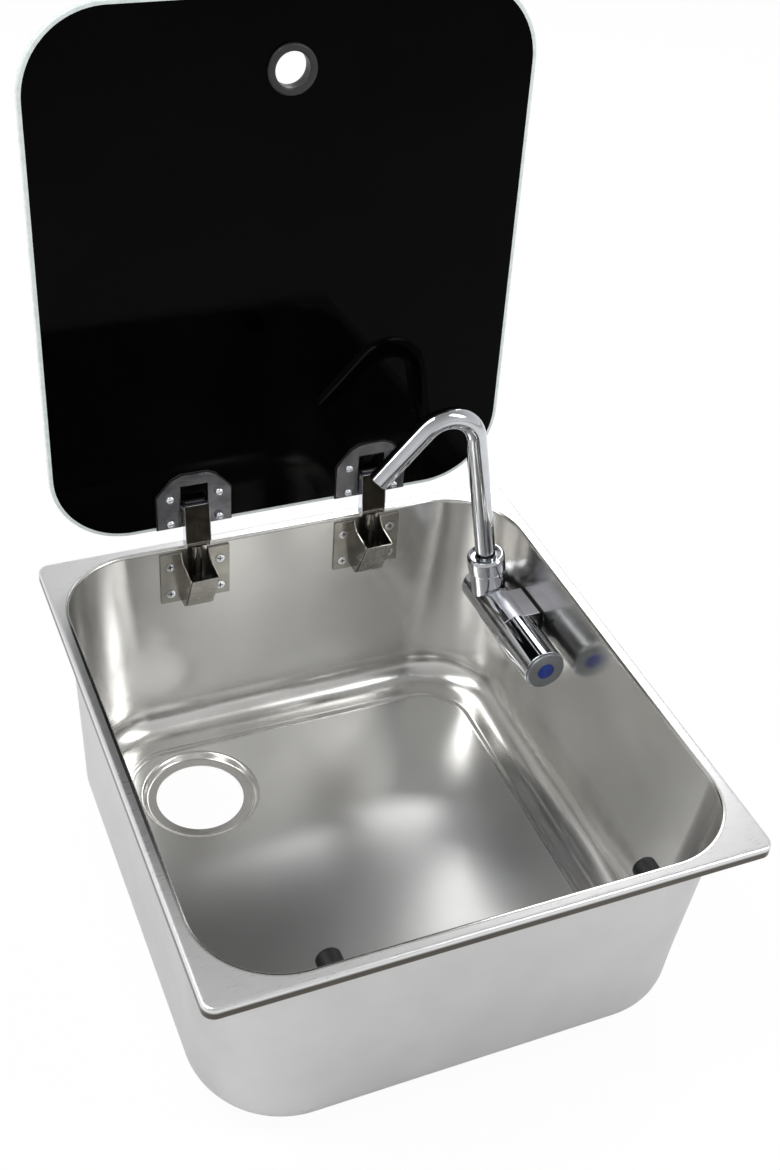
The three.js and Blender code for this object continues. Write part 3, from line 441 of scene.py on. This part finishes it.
def sink_bowl():
    bm = bmesh.new()
    inside = bowl_sections(0)
    floor_in = loop = first_loop(bm, inside[0])
    for places in inside[1:]:
        loop = extrude_loop(bm, loop, places)
    for out, down in ((-0.05, 2.6), (0, 1.8), (0.22, 1.0), (0.75, 0.42), (1.4, 0.12), (LIP, 0), (LIP + 1, 0)):
        loop = extrude_loop(bm, loop, mouth_loop(OX + out, TOP - down))
    inner_faces = set(bm.faces)
    for inset, down in ((4.2, 0), (2.6, 0), (1.9, 0.06), (1.0, 0.36), (0.4, 0.95), (0.06, 1.8), (0, 2.4),
                        (0, 5.0), (0, SKIRT - 0.3)):
        loop = extrude_loop(bm, loop, rim_loop(inset, down))
    rim_faces = set(bm.faces) - inner_faces
    # back under the rim, down the outside and in under the floor
    for inset, down in ((0.3, SKIRT), (0.7, SKIRT), (SHEET, SKIRT - 0.3), (SHEET, 2.6), (1.15, 1.9),
                        (1.7, 1.2), (2.6, SHEET), (4, SHEET)):
        loop = extrude_loop(bm, loop, rim_loop(inset, down))
    for out, down in ((3.6, 1.0), (2.4, 1.05), (1.6, 1.4), (1.1, 2.2), (0.95, 3.2)):
        loop = extrude_loop(bm, loop, mouth_loop(OX + out, TOP - down))
    for places in reversed(bowl_sections(SHEET)):
        loop = extrude_loop(bm, loop, places)
    outer_faces = set(bm.faces) - inner_faces - rim_faces
    # the drain's recess, from the floor panel in, down, round the hole's edge and back out below
    drain_in = drain = first_loop(bm, ringed(*DRAIN, 49.4, SHEET, 96))
    for r, z in ((48.4, 0.93), (47.6, 0.7), (46.9, 0.2), (46.2, -0.6), (44.9, -2.4), (44.2, -3.1),
                 (43.4, -3.42), (42.4, -3.5), (36.3, -3.5), (36.05, -3.6), (36, -3.8), (36, -4.2),
                 (36.3, -4.5), (43.2, -4.5), (44.6, -4.1), (45.6, -3.1), (46.9, -1.0), (47.8, -0.3),
                 (49.0, 0.0)):
        drain = extrude_loop(bm, drain, ringed(*DRAIN, r, z, 96))
    floor_faces = set(fill_between(bm, floor_in, drain_in))
    outer_faces |= set(fill_between(bm, loop, drain))
    for f in bm.faces:
        f.material_index = 1 if f in rim_faces else 2 if f in outer_faces else 3 if f in floor_faces else 0
    done(bm, "bowl_shell", "sink", ["sink_bowl"], [STEEL_IN, STEEL_RIM_PAINTED_SHADE, STEEL_OUT, STEEL_FLOOR],
         angle=50)


sink_bowl()


# ---- bumpers ----
def bumpers():
    z = TOP - BUMPER_DOWN - BUMPER_R
    for side, sx in (("left", -1), ("right", 1)):
        bm = bmesh.new()
        spun(bm, [(0, -4.5), (2.2, -4.5), (3, -4.2), (5.4, -2.5), (5.6, -1.6), (4, -1.5), (4, 0.5),
                  (7.9, 0.5), (8.4, 0.9), (BUMPER_R, 1.6), (BUMPER_R, 12.4), (8.3, 13.5), (7.6, 14.4),
                  (6.6, 14.9), (5.4, 15), (4.6, 14.8), (0, 14.7)],
             aimed((sx * BUMPER_X, -wall_y(z), z), YP), 48)
        done(bm, f"lid_stop_{side}", "sink", [f"bumper_{side}"], [RUBBER], angle=40)


bumpers()

# ---- glass lid ----
LID = leaning(math.radians(LID_LEAN), (0, LID_EDGE_Y, TOP + LID_EDGE_UP))
LID_OUT = LID.to_3x3() @ UP
PANE_CORNER, PANE_HOLE = 24, 64                        # points in each corner and round the finger hole


def glass_lid():
    bm = bmesh.new()

    def ring(inset, n):
        return rounded(LID_W / 2 - inset, LID_H / 2 - inset, LID_R - inset, n, PANE_CORNER, LID_H / 2)

    front = loop = first_loop(bm, ring(3.0, 0))
    for inset, n in ((1.0, 0), (0.55, -0.12), (0.15, -0.5), (0, -1.0), (0, 1 - LID_T), (0.15, 0.5 - LID_T),
                     (0.55, 0.12 - LID_T), (1.0, -LID_T), (3.0, -LID_T)):
        loop = extrude_loop(bm, loop, ring(inset, n))
    edge = set(bm.faces)
    hole_front = hole = first_loop(bm, ringed(0, FINGER_UP, 16.3, 0, PANE_HOLE))
    for r, n in ((15.8, -0.5), (15.8, 0.5 - LID_T), (16.3, -LID_T)):
        hole = extrude_loop(bm, hole, ringed(0, FINGER_UP, r, n, PANE_HOLE))
    fill_between(bm, front, hole_front)
    fill_between(bm, loop, hole)
    for f in bm.faces:
        f.material_index = 1 if f in edge else 0
    bmesh.ops.transform(bm, matrix=LID, verts=bm.verts)
    done(bm, "lid_pane", "lid", ["glass_lid"], [GLASS, GLASS_EDGE], angle=40)


def grommet():
    """The two halves of the ring in the finger hole, one flange on each face of the glass."""
    at = aimed(LID @ Vector((0, FINGER_UP, 0)), LID_OUT)
    flange = [(FINGER_R, -1.4), (FINGER_R + 0.2, -0.7), (FINGER_R + 0.8, -0.2), (FINGER_R + 1.7, 0),
              (16.4, 0), (17.3, -0.25), (17.8, -0.8), (18, -1.6)]
    front = [(FINGER_R, -2.35), *[(r, 3 + n) for r, n in flange], (18, GROMMET_GAP), (15.5, GROMMET_GAP),
             (15.5, -2.35)]
    behind = -LID_T - GROMMET_GAP
    back = [*[(r, -8 - n) for r, n in flange], (18, behind), (15.5, behind), (15.5, -2.65), (FINGER_R, -2.65)]
    for half, profile in (("front", front), ("back", back)):
        bm = bmesh.new()
        spun(bm, profile, at, 72)
        done(bm, f"finger_ring_{half}", "lid", [f"grommet_{half}"], [GROMMET], angle=40)


glass_lid()
grommet()

# ---- lid hinges, all drawn about x = 0 ----
PIN = LID @ Vector((0, PIN_UP, PIN_OUT))
ROD_PIN = Vector((0, ROD_Y, ROD_PIN_Z))
ARM_DIR = (PIN - ROD_PIN).normalized()
ARM_LEN = (PIN - ROD_PIN).length
ARM = basis(XP, ARM_DIR, Vector((0, -ARM_DIR.z, ARM_DIR.y)), ROD_PIN)
WINDOW = [(-11.3, 15.5), (-9.2, 15.5), (-9.2, 24), (9.2, 24), (9.2, 15.5), (11.3, 15.5), (11.3, 39),
          (-11.3, 39)]
STUD_HOLES = [circle(x, h, STUD_HOLE_R, 20) for x, h in STUDS]


def back(z):
    """Where the wall box lies against the back wall."""
    return wall_y(z) - 0.3


BOX_LEAN = math.atan((back(BOX_TOP) - back(BOX_BOTTOM)) / (BOX_TOP - BOX_BOTTOM))
WALL = leaning(BOX_LEAN, (0, back(BOX_BOTTOM), BOX_BOTTOM))
WALL_OUT = WALL.to_3x3() @ UP


def cover_y(z):
    """The sloping front of the hinge's cover."""
    return 177 + 0.45 * (TOP - 9.5 - z)


def octagon(g):
    """The bracket's outline, g larger all round."""
    h0 = PLATE_H0
    right = [(30 + g, h0 - g), (30 + g, 31 + g), (26, 36.6 + g), (17 + g, 45.7 + g), (10 + g, 49 + g)]
    return [(-30 - g, h0 - g), *right, *[(-x, h) for x, h in reversed(right[1:])]]


def pad():
    bm = bmesh.new()
    plate(bm, octagon(0.9), [*STUD_HOLES, WINDOW], 0.15, 0.95, LID)
    return bm


def bracket():
    """The plate on the glass with the two ears that hold the lid's pin."""
    bm = bmesh.new()
    plate(bm, octagon(0), [*STUD_HOLES, WINDOW], PLATE_N0, PLATE_N1, LID)
    root = PLATE_N0 + 0.2
    ear = [(15.8, root), (24, root), (24, PIN_OUT), *arc(PIN_UP, PIN_OUT, 4, 0, 180, 14), (15.8, PIN_OUT)]
    for x in (7.8, -9.0):
        plate(bm, ear, [circle(PIN_UP, PIN_OUT, PIN_HOLE_R, 20)], x, x + 1.2, LID @ YZ)
    return bm


def stud(x, h):
    bm = bmesh.new()
    head = [(1.9, 0.15), (3.3, 0.15), (3.4, 0.3), (3.4, 2.1), (3.1, 2.7), (2.5, 3.3), (1.6, 3.8),
            (0.8, 4.0), (0, 4.05)]
    spun(bm, [(0, 0.4), (1.9, 0.4), *[(r, PLATE_N1 + n) for r, n in head]],
         aimed(LID @ Vector((x, h, 0)), LID_OUT), 28)
    return bm


def arm():
    """Two bright cheeks from the rod's pin to the lid's, with a web between them that is coloured dark as
    painted shade.
    """
    flank = [*arc(0, 0, 4.5, 180, 270, 8), (4, -3.2), (ARM_LEN - 6, -1.6), (ARM_LEN - 3.7, -1.8),
             *arc(ARM_LEN, 0, 4.1, 207, 360, 14), (ARM_LEN + 4.1, 2), (ARM_LEN + 3, 5), (2.5, 5), (-3.4, 3.2)]
    bm = bmesh.new()
    for x in (CHEEK_IN, -CHEEK_OUT):
        plate(bm, flank, [circle(0, 0, PIN_HOLE_R, 20), circle(ARM_LEN, 0, PIN_HOLE_R, 20)],
              x, x + CHEEK_OUT - CHEEK_IN, ARM @ YZ)
    cheeks = set(bm.faces)
    plate(bm, [(2.5, 4.1), (ARM_LEN + 3, 4.1), (ARM_LEN + 3, 5), (2.5, 5)], [],
          -CHEEK_OUT + 0.25, CHEEK_OUT - 0.25, ARM @ YZ)
    # the web takes the dark steel: painted shade between the cheeks
    for f in bm.faces:
        f.material_index = 0 if f in cheeks else 1
    return bm


def pin(at):
    bm = bmesh.new()
    spun(bm, [(0, -CHEEK_OUT), (PIN_R - 0.3, -CHEEK_OUT), (PIN_R, -CHEEK_OUT + 0.3), (PIN_R, CHEEK_OUT - 0.3),
              (PIN_R - 0.3, CHEEK_OUT), (0, CHEEK_OUT)], aimed(at, XP), 24)
    return bm


def rod():
    """The guide rod with the cross head that turns on its pin."""
    bm = bmesh.new()
    tip, top = BOX_BOTTOM + 4.5, ROD_PIN_Z - 2.4
    spun(bm, [(0, tip), (ROD_R - 0.6, tip), (ROD_R, tip + 0.6), (ROD_R, top), (0, top)],
         Matrix.Translation((0, ROD_Y, 0)), 36)
    w = CHEEK_IN - 0.35
    spun(bm, [(PIN_HOLE_R, -w), (3.4, -w), (3.8, -w + 0.4), (3.8, w - 0.4), (3.4, w), (PIN_HOLE_R, w)],
         aimed(ROD_PIN, XP), 36)
    return bm


def wall_box():
    """Two screwed wings, two cheeks and a bottom strip that is notched for the rod."""
    bm = bmesh.new()
    height = (BOX_TOP - BOX_BOTTOM) / math.cos(BOX_LEAN)
    for s in (-1, 1):
        x0, x1 = sorted((s * BOX_IN, s * BOX_WING))
        holes = [circle(x, (z - BOX_BOTTOM) / math.cos(BOX_LEAN), 4.2) for x, z in SCREWS if x * s > 0]
        plate(bm, [(x0, 0), (x1, 0), (x1, height), (x0, height)], holes, 0, BOX_T, WALL)
    front = cover_y(BOX_BOTTOM) + 1.5
    face, slope = back(BOX_TOP) - BOX_T, cover_y(COVER_TOP)
    cheek = [(back(BOX_BOTTOM), BOX_BOTTOM), (back(BOX_TOP), BOX_TOP), (face, BOX_TOP),
             (face - 1.2, BOX_TOP - 3.2), (face - 6, COVER_TOP + 1), (slope + 3, COVER_TOP),
             (slope + 1.5, COVER_TOP - 1.5), (front, BOX_BOTTOM)]
    for x in (BOX_IN, -BOX_OUT):
        plate(bm, cheek, [], x, x + BOX_OUT - BOX_IN, YZ)
    notch_r = ROD_R + 0.6
    notch = math.degrees(math.asin((front - ROD_Y) / notch_r))
    plate(bm, [(-BOX_OUT, front), *arc(0, ROD_Y, notch_r, 180 - notch, notch, 28), (BOX_OUT, front),
               (BOX_OUT, back(BOX_BOTTOM)), (-BOX_OUT, back(BOX_BOTTOM))], [], BOX_BOTTOM, BOX_BOTTOM + 1.2)
    return bm


def cover():
    bm = bmesh.new()
    low, side = BOX_BOTTOM + 1.5, BOX_IN - 0.3
    plate(bm, [(cover_y(low), low), (cover_y(low) + 1, low), (cover_y(COVER_TOP) + 1, COVER_TOP),
               (cover_y(COVER_TOP), COVER_TOP)], [], -side, side, YZ)
    return bm


def wall_screw(x, z):
    bm = bmesh.new()
    at = aimed((x, back(z), z), WALL_OUT)
    thread = [p for j in range(9) for p in ((1.6, 0.55 * j - 5.2), (2.0, 0.55 * j - 5.2 + 0.25))]
    spun(bm, [(0, -7.4), (0.5, -7.0), *thread, (2, 0.2), (4, BOX_T + 0.1), (3.4, BOX_T + 0.2),
              (0, BOX_T + 0.2)], at, 28)
    # the cross of the driver's slot, as a dark inlay: painted shade where the slot's recess is
    for hx, hy in ((2.2, 0.42), (0.42, 2.2)):
        bar = bmesh.ops.create_cube(bm, size=1.0)["verts"]
        bmesh.ops.scale(bm, vec=(2 * hx, 2 * hy, 0.12), verts=bar)
        bmesh.ops.translate(bm, vec=(0, 0, BOX_T + 0.19), verts=bar)
        bmesh.ops.transform(bm, matrix=at, verts=bar)
        for f in {f for v in bar for f in v.link_faces}:
            f.material_index = 1
    return bm


def hinge(side, x0):
    def piece(bm, tag, body, materials, bevel=0.0, angle=38):
        done(bm, f"{side}_hinge_{tag}", body, [f"{side}_{tag}"], materials, bevel, angle,
             Matrix.Translation((x0, 0, 0)))

    piece(pad(), "pad", "lid", [BLACK_PAD_AND_SLOT_SHADE], 0.15)
    piece(bracket(), "bracket", "lid", [BRACKET], 0.25)
    for i, (x, h) in enumerate(STUDS):
        piece(stud(x, h), f"stud_{i + 1}", "lid", [BRIGHT], angle=35)
    piece(arm(), "arm", f"{side}_arm", [BRIGHT, WEB_PAINTED_SHADE], 0.22)
    piece(pin(PIN), "lid_pin", f"{side}_arm", [BRIGHT], angle=35)
    piece(pin(ROD_PIN), "rod_pin", f"{side}_arm", [BRIGHT], angle=35)
    piece(rod(), "rod", f"{side}_rod", [RODMAT], angle=35)
    piece(wall_box(), "wall_box", "sink", [WALLPLATE], 0.22)
    piece(cover(), "cover", "sink", [COVERMAT], 0.3)
    for i, (x, z) in enumerate(SCREWS):
        piece(wall_screw(x, z), f"wall_screw_{i + 1}", "sink", [BRIGHT, BLACK_PAD_AND_SLOT_SHADE], angle=35)


hinge("left", -HINGE_X)
hinge("right", HINGE_X)

# ---- tap, drawn level and then turned with its barrel ----
TURN = (Matrix.Translation((0, TAP_Y, TAP_Z)) @ Matrix.Rotation(math.radians(TAP_TURN), 4, "X")
        @ Matrix.Translation((0, -TAP_Y, -TAP_Z)))
BARREL = aimed((TAP_X, 0, TAP_Z), YP)
BODY_0, BODY_1 = TAP_Y - BARREL_HALF, TAP_Y + BARREL_HALF
KNUCKLE_0, KNUCKLE_1 = BODY_1 + 0.3, 168.0
KNOB_1 = BODY_0 - HANDLE_GAP
KNOB_0 = KNOB_1 - HANDLE_LEN
LEAN = math.radians(RISER_LEAN)
RISER = Vector((-math.sin(LEAN), 0, math.cos(LEAN)))
SIDE = Vector((-RISER.z, 0, RISER.x))
RISER_AT = Vector((TAP_X, RISER_Y, TAP_Z))
RISER_FRAME = aimed(RISER_AT, RISER)


def tap_piece(bm, name, body, replaced, materials, bevel=0.0, angle=40):
    done(bm, name, body, replaced, materials, bevel, angle, TURN)


def tap_handle():
    a, b, r = KNOB_0, KNOB_1, HANDLE_R
    bm = bmesh.new()
    spun(bm, [(4.3, a + 10.5), (2, a + 10.5), (2, a + 8.2), (15.2, a + 8.2), (15.2, a + 0.2), (r - 2, a),
              (r - 0.9, a), (r - 0.4, a + 0.15), (r - 0.1, a + 0.5), (r, a + 1), (r, b - 1.2),
              (r - 0.2, b - 0.6), (r - 0.7, b - 0.15), (r - 1.1, b), (15, b), (15, a + 30), (4.3, a + 30)],
         BARREL, 80)
    tap_piece(bm, "tap_knob", "tap_handle", ["handle"], [CHROME])
    bm = bmesh.new()
    spun(bm, [(0, a - 0.6), (7.3, a - 0.6), (7.3, a - 2.2), (7.6, a - 2.4), (15.2, a - 2.4), (16, a - 2.1),
              (16.4, a - 1.4), (16.4, a - 0.3), (14.9, a - 0.3), (14.9, a + 5), (13, a + 5), (13, a + 1.4),
              (0, a + 1.4)], BARREL, 72)
    tap_piece(bm, "tap_knob_cap", "tap_handle", ["handle_cap"], [CAP])
    bm = bmesh.new()
    spun(bm, [(0, a - 0.9), (7, a - 0.9), (7, a - 2.4), (6.6, a - 2.8), (5.8, a - 3), (0, a - 3.1)],
         BARREL, 48)
    tap_piece(bm, "tap_cold_disc", "tap_handle", ["cold_mark"], [BLUE])


def tap_body():
    """The barrel's round front with its flat top and bottom, running back to the wall."""
    top, bottom = TAP_Z + BARREL_FLAT, TAP_Z - BARREL_FLAT
    fa = math.degrees(math.asin(BARREL_FLAT / BARREL_R))
    outline = [(wall_x(bottom) - 1.95, bottom), (wall_x(top) - 1.95, top),
               *arc(TAP_X, TAP_Z, BARREL_R, fa, 360 - fa, 60)]
    bm = bmesh.new()
    plate(bm, outline, [circle(TAP_X, TAP_Z, 9.6, 48)], -BODY_1, -BODY_0, XZ)
    # only the top flat takes the lighter chrome, as painted light from above; the flat underneath stays plain
    # chrome
    for f in bm.faces:
        if all(v.co.z > top - 0.2 for v in f.verts):
            f.material_index = 1
    tap_piece(bm, "tap_body", "sink", ["tap_housing"], [CHROME, CHROME_TOP_PAINTED_LIGHT], 0.4, 30)


def tap_knuckle():
    """The swinging end of the barrel with the socket for the spout, and the collar nut on it."""
    a, b, r = KNUCKLE_0, KNUCKLE_1, BARREL_R - 0.8
    bm = bmesh.new()
    spun(bm, [(0, a - 12), (8.4, a - 12), (8.9, a - 11.4), (8.9, a), (r - 0.4, a), (r, a + 0.5), (r, b - 1.6),
              (r - 0.3, b - 0.8), (r - 1.0, b - 0.2), (r - 1.8, b), (0, b)], BARREL, 80)
    spun(bm, [(10.9, 8), (14.5, 8), (14.5, 30.6), (14.1, 31), (11.3, 31), (10.9, 30.6)], RISER_FRAME, 72)
    tap_piece(bm, "tap_knuckle", "tap_arm", ["knuckle"], [CHROME])
    bm = bmesh.new()
    spun(bm, [(8.8, 33.5), (8.8, 43.6), (9.1, 44), (12.2, 44), (12.6, 44.3), (13, 46.6), (13.3, 47),
              (14.0, 47), (14.4, 46.8), (15.8, 44.9), (16, 44.4), (16, 33.2), (15.8, 32.4), (15.2, 31.5),
              (14.9, 31.3), (14.9, 33.5)], RISER_FRAME, 80)
    tap_piece(bm, "tap_collar", "tap_arm", ["collar_nut"], [CHROME])


def spout():
    """A bent tube: stations of (up the riser, sideways, turn) along its middle."""
    bend = math.radians(BEND_DEG)
    turns = [bend * i / 40 for i in range(1, 41)]
    stations = [(9.0, 0.0, 0.0), (60.0, 0.0, 0.0), (RISER_LEN - 8, 0.0, 0.0), (RISER_LEN, 0.0, 0.0)]
    stations += [(RISER_LEN + BEND_R * math.sin(a), BEND_R * (1 - math.cos(a)), a) for a in turns]
    u, w, _ = stations[-1]
    stations += [(u + s * math.cos(bend), w + s * math.sin(bend), bend)
                 for s in (6.0, OUTLET_LEN - 0.5, OUTLET_LEN)]

    def ring(station, r):
        u, w, b = station
        out = []
        for i in range(48):
            t = math.tau * i / 48
            out.append(RISER_AT + RISER * (u - r * math.cos(t) * math.sin(b))
                       + SIDE * (w + r * math.cos(t) * math.cos(b)) + YP * (r * math.sin(t)))
        return out

    bm = bmesh.new()
    start = loop = first_loop(bm, ring(stations[0], TUBE_R))
    for st in stations[1:-1]:
        loop = extrude_loop(bm, loop, ring(st, TUBE_R))
    for r in (TUBE_R - 0.3, TUBE_R - 0.8):
        loop = extrude_loop(bm, loop, ring(stations[-1], r))
    for st in reversed(stations[:-1]):
        loop = extrude_loop(bm, loop, ring(st, TUBE_R - 1.0))
    bmesh.ops.bridge_loops(bm, edges=loop_edges(bm, loop) + loop_edges(bm, start))
    tap_piece(bm, "tap_spout", "spout", ["spout"], [CHROME])


tap_handle()
tap_body()
tap_knuckle()
spout()

# ---- parts that keep the CAD's shape ----
for name, material in (("left_guide_bush", PLASTIC), ("right_guide_bush", PLASTIC), ("tap_gasket", RUBBER),
                       ("tap_shank", BRASS), ("tap_washer", RUBBER), ("tap_lock_nut", BRASS),
                       ("tap_inlet_tail", BRASS), ("valve_cartridge", BRASS), ("handle_screw", BRIGHT),
                       ("o_ring", RUBBER), ("spout_bush", PLASTIC)):
    NODES[name].data.materials.clear()
    NODES[name].data.materials.append(material)

# ---- floor, light and camera, in metres ----
FLOOR_Z = -0.0046                                      # just under the drain's recess
FLOOR_GLOW = 0.95                                      # how much of the floor the camera sees as plain white
HORIZON, ZENITH = (0.95, 0.95, 0.96, 1), (0.4, 0.4, 0.39, 1)
WHITE = (1, 1, 1, 1)
AIM = (0, 0, 0.15)
# The camera was solved from the corners of the rim in the photograph.
FOCAL_PX, PHOTO_TALL, SENSOR = 1554.8793, 1170, 36.0
CAMERA_AT = (-0.36227435, -0.74519317, 0.96080023)
CAMERA_RIGHT = Vector((0.92112957, -0.3821535, 0.07402041))
CAMERA_UP = Vector((0.18829142, 0.60387079, 0.77452334))
CAMERA_BACK = Vector((-0.34068557, -0.69949894, 0.62819946))


def studio():
    """A plain floor that shows white to the camera and still takes the object's shadow."""
    bm = bmesh.new()
    bmesh.ops.create_grid(bm, x_segments=1, y_segments=1, size=6)
    bmesh.ops.translate(bm, vec=(0, 0, FLOOR_Z), verts=bm.verts)
    mesh = bpy.data.meshes.new("studio_floor")
    bm.to_mesh(mesh)
    bm.free()
    floor = bpy.data.objects.new("studio_floor", mesh)
    bpy.context.scene.collection.objects.link(floor)
    mat = finish("pale floor", 0.0, ((1000, EVEN, 3), "F4F4F4", "F6F6F6"), 0.9)
    tree = mat.node_tree
    path = node(tree, "LightPath").outputs
    seen = node(tree, "Math", {0: path["Is Camera Ray"], 1: path["Is Transmission Ray"]}, operation="MAXIMUM")
    share = node(tree, "Math", {0: seen.outputs[0], 1: FLOOR_GLOW}, operation="MULTIPLY")
    glow = node(tree, "Emission", {"Color": WHITE})
    both = node(tree, "MixShader", {"Fac": share.outputs[0], 1: tree.nodes["Principled BSDF"].outputs[0],
                                    2: glow.outputs[0]})
    tree.links.new(both.outputs[0], tree.nodes["Material Output"].inputs["Surface"])
    mesh.materials.append(mat)


def world():
    """Soft light that is brightest at the horizon, and plain white where the camera looks past the floor."""
    air = bpy.data.worlds.new("studio air")
    bpy.context.scene.world = air
    air.use_nodes = True
    tree = air.node_tree
    axes = node(tree, "SeparateXYZ", {0: node(tree, "TexCoord").outputs["Generated"]})
    shade = node(tree, "ValToRGB", {"Fac": axes.outputs["Z"]})
    for end, light in zip(shade.color_ramp.elements, (HORIZON, ZENITH)):
        end.color = light
    seen = node(tree, "LightPath").outputs["Is Camera Ray"]
    # sockets 6, 7 and 2 are a colour mix's A, B and result
    both = node(tree, "Mix", {"Factor": seen, 6: shade.outputs["Color"], 7: WHITE}, data_type="RGBA")
    background = tree.nodes["Background"]
    tree.links.new(both.outputs[2], background.inputs["Color"])
    background.inputs["Strength"].default_value = 1.0


def softbox(name, at, aim, size, power):
    lamp = bpy.data.lights.new(name, "AREA")
    lamp.shape = "RECTANGLE"
    lamp.size, lamp.size_y = size
    lamp.energy = power
    ob = bpy.data.objects.new(name, lamp)
    ob.location = at
    ob.rotation_mode = "QUATERNION"
    ob.rotation_quaternion = (Vector(aim) - Vector(at)).to_track_quat("-Z", "Y")
    bpy.context.scene.collection.objects.link(ob)


def camera():
    cam = bpy.data.cameras.new("photograph")
    cam.sensor_width = SENSOR
    cam.lens = FOCAL_PX / PHOTO_TALL * SENSOR
    cam.clip_start, cam.clip_end = 0.05, 50
    ob = bpy.data.objects.new("photograph", cam)
    ob.matrix_world = basis(CAMERA_RIGHT, CAMERA_UP, CAMERA_BACK, CAMERA_AT)
    bpy.context.scene.collection.objects.link(ob)
    bpy.context.scene.camera = ob


studio()
world()
softbox("key", (-1.1, 0.3, 1.9), AIM, (0.7, 1.5), 24)
softbox("fill", (1.3, -0.9, 1.8), AIM, (0.6, 1.4), 16)
softbox("back", (0.95, 1.45, 1.35), (0.16, 0.1, 0.15), (0.9, 0.7), 10)
camera()
bpy.context.scene.view_settings.view_transform = "Standard"
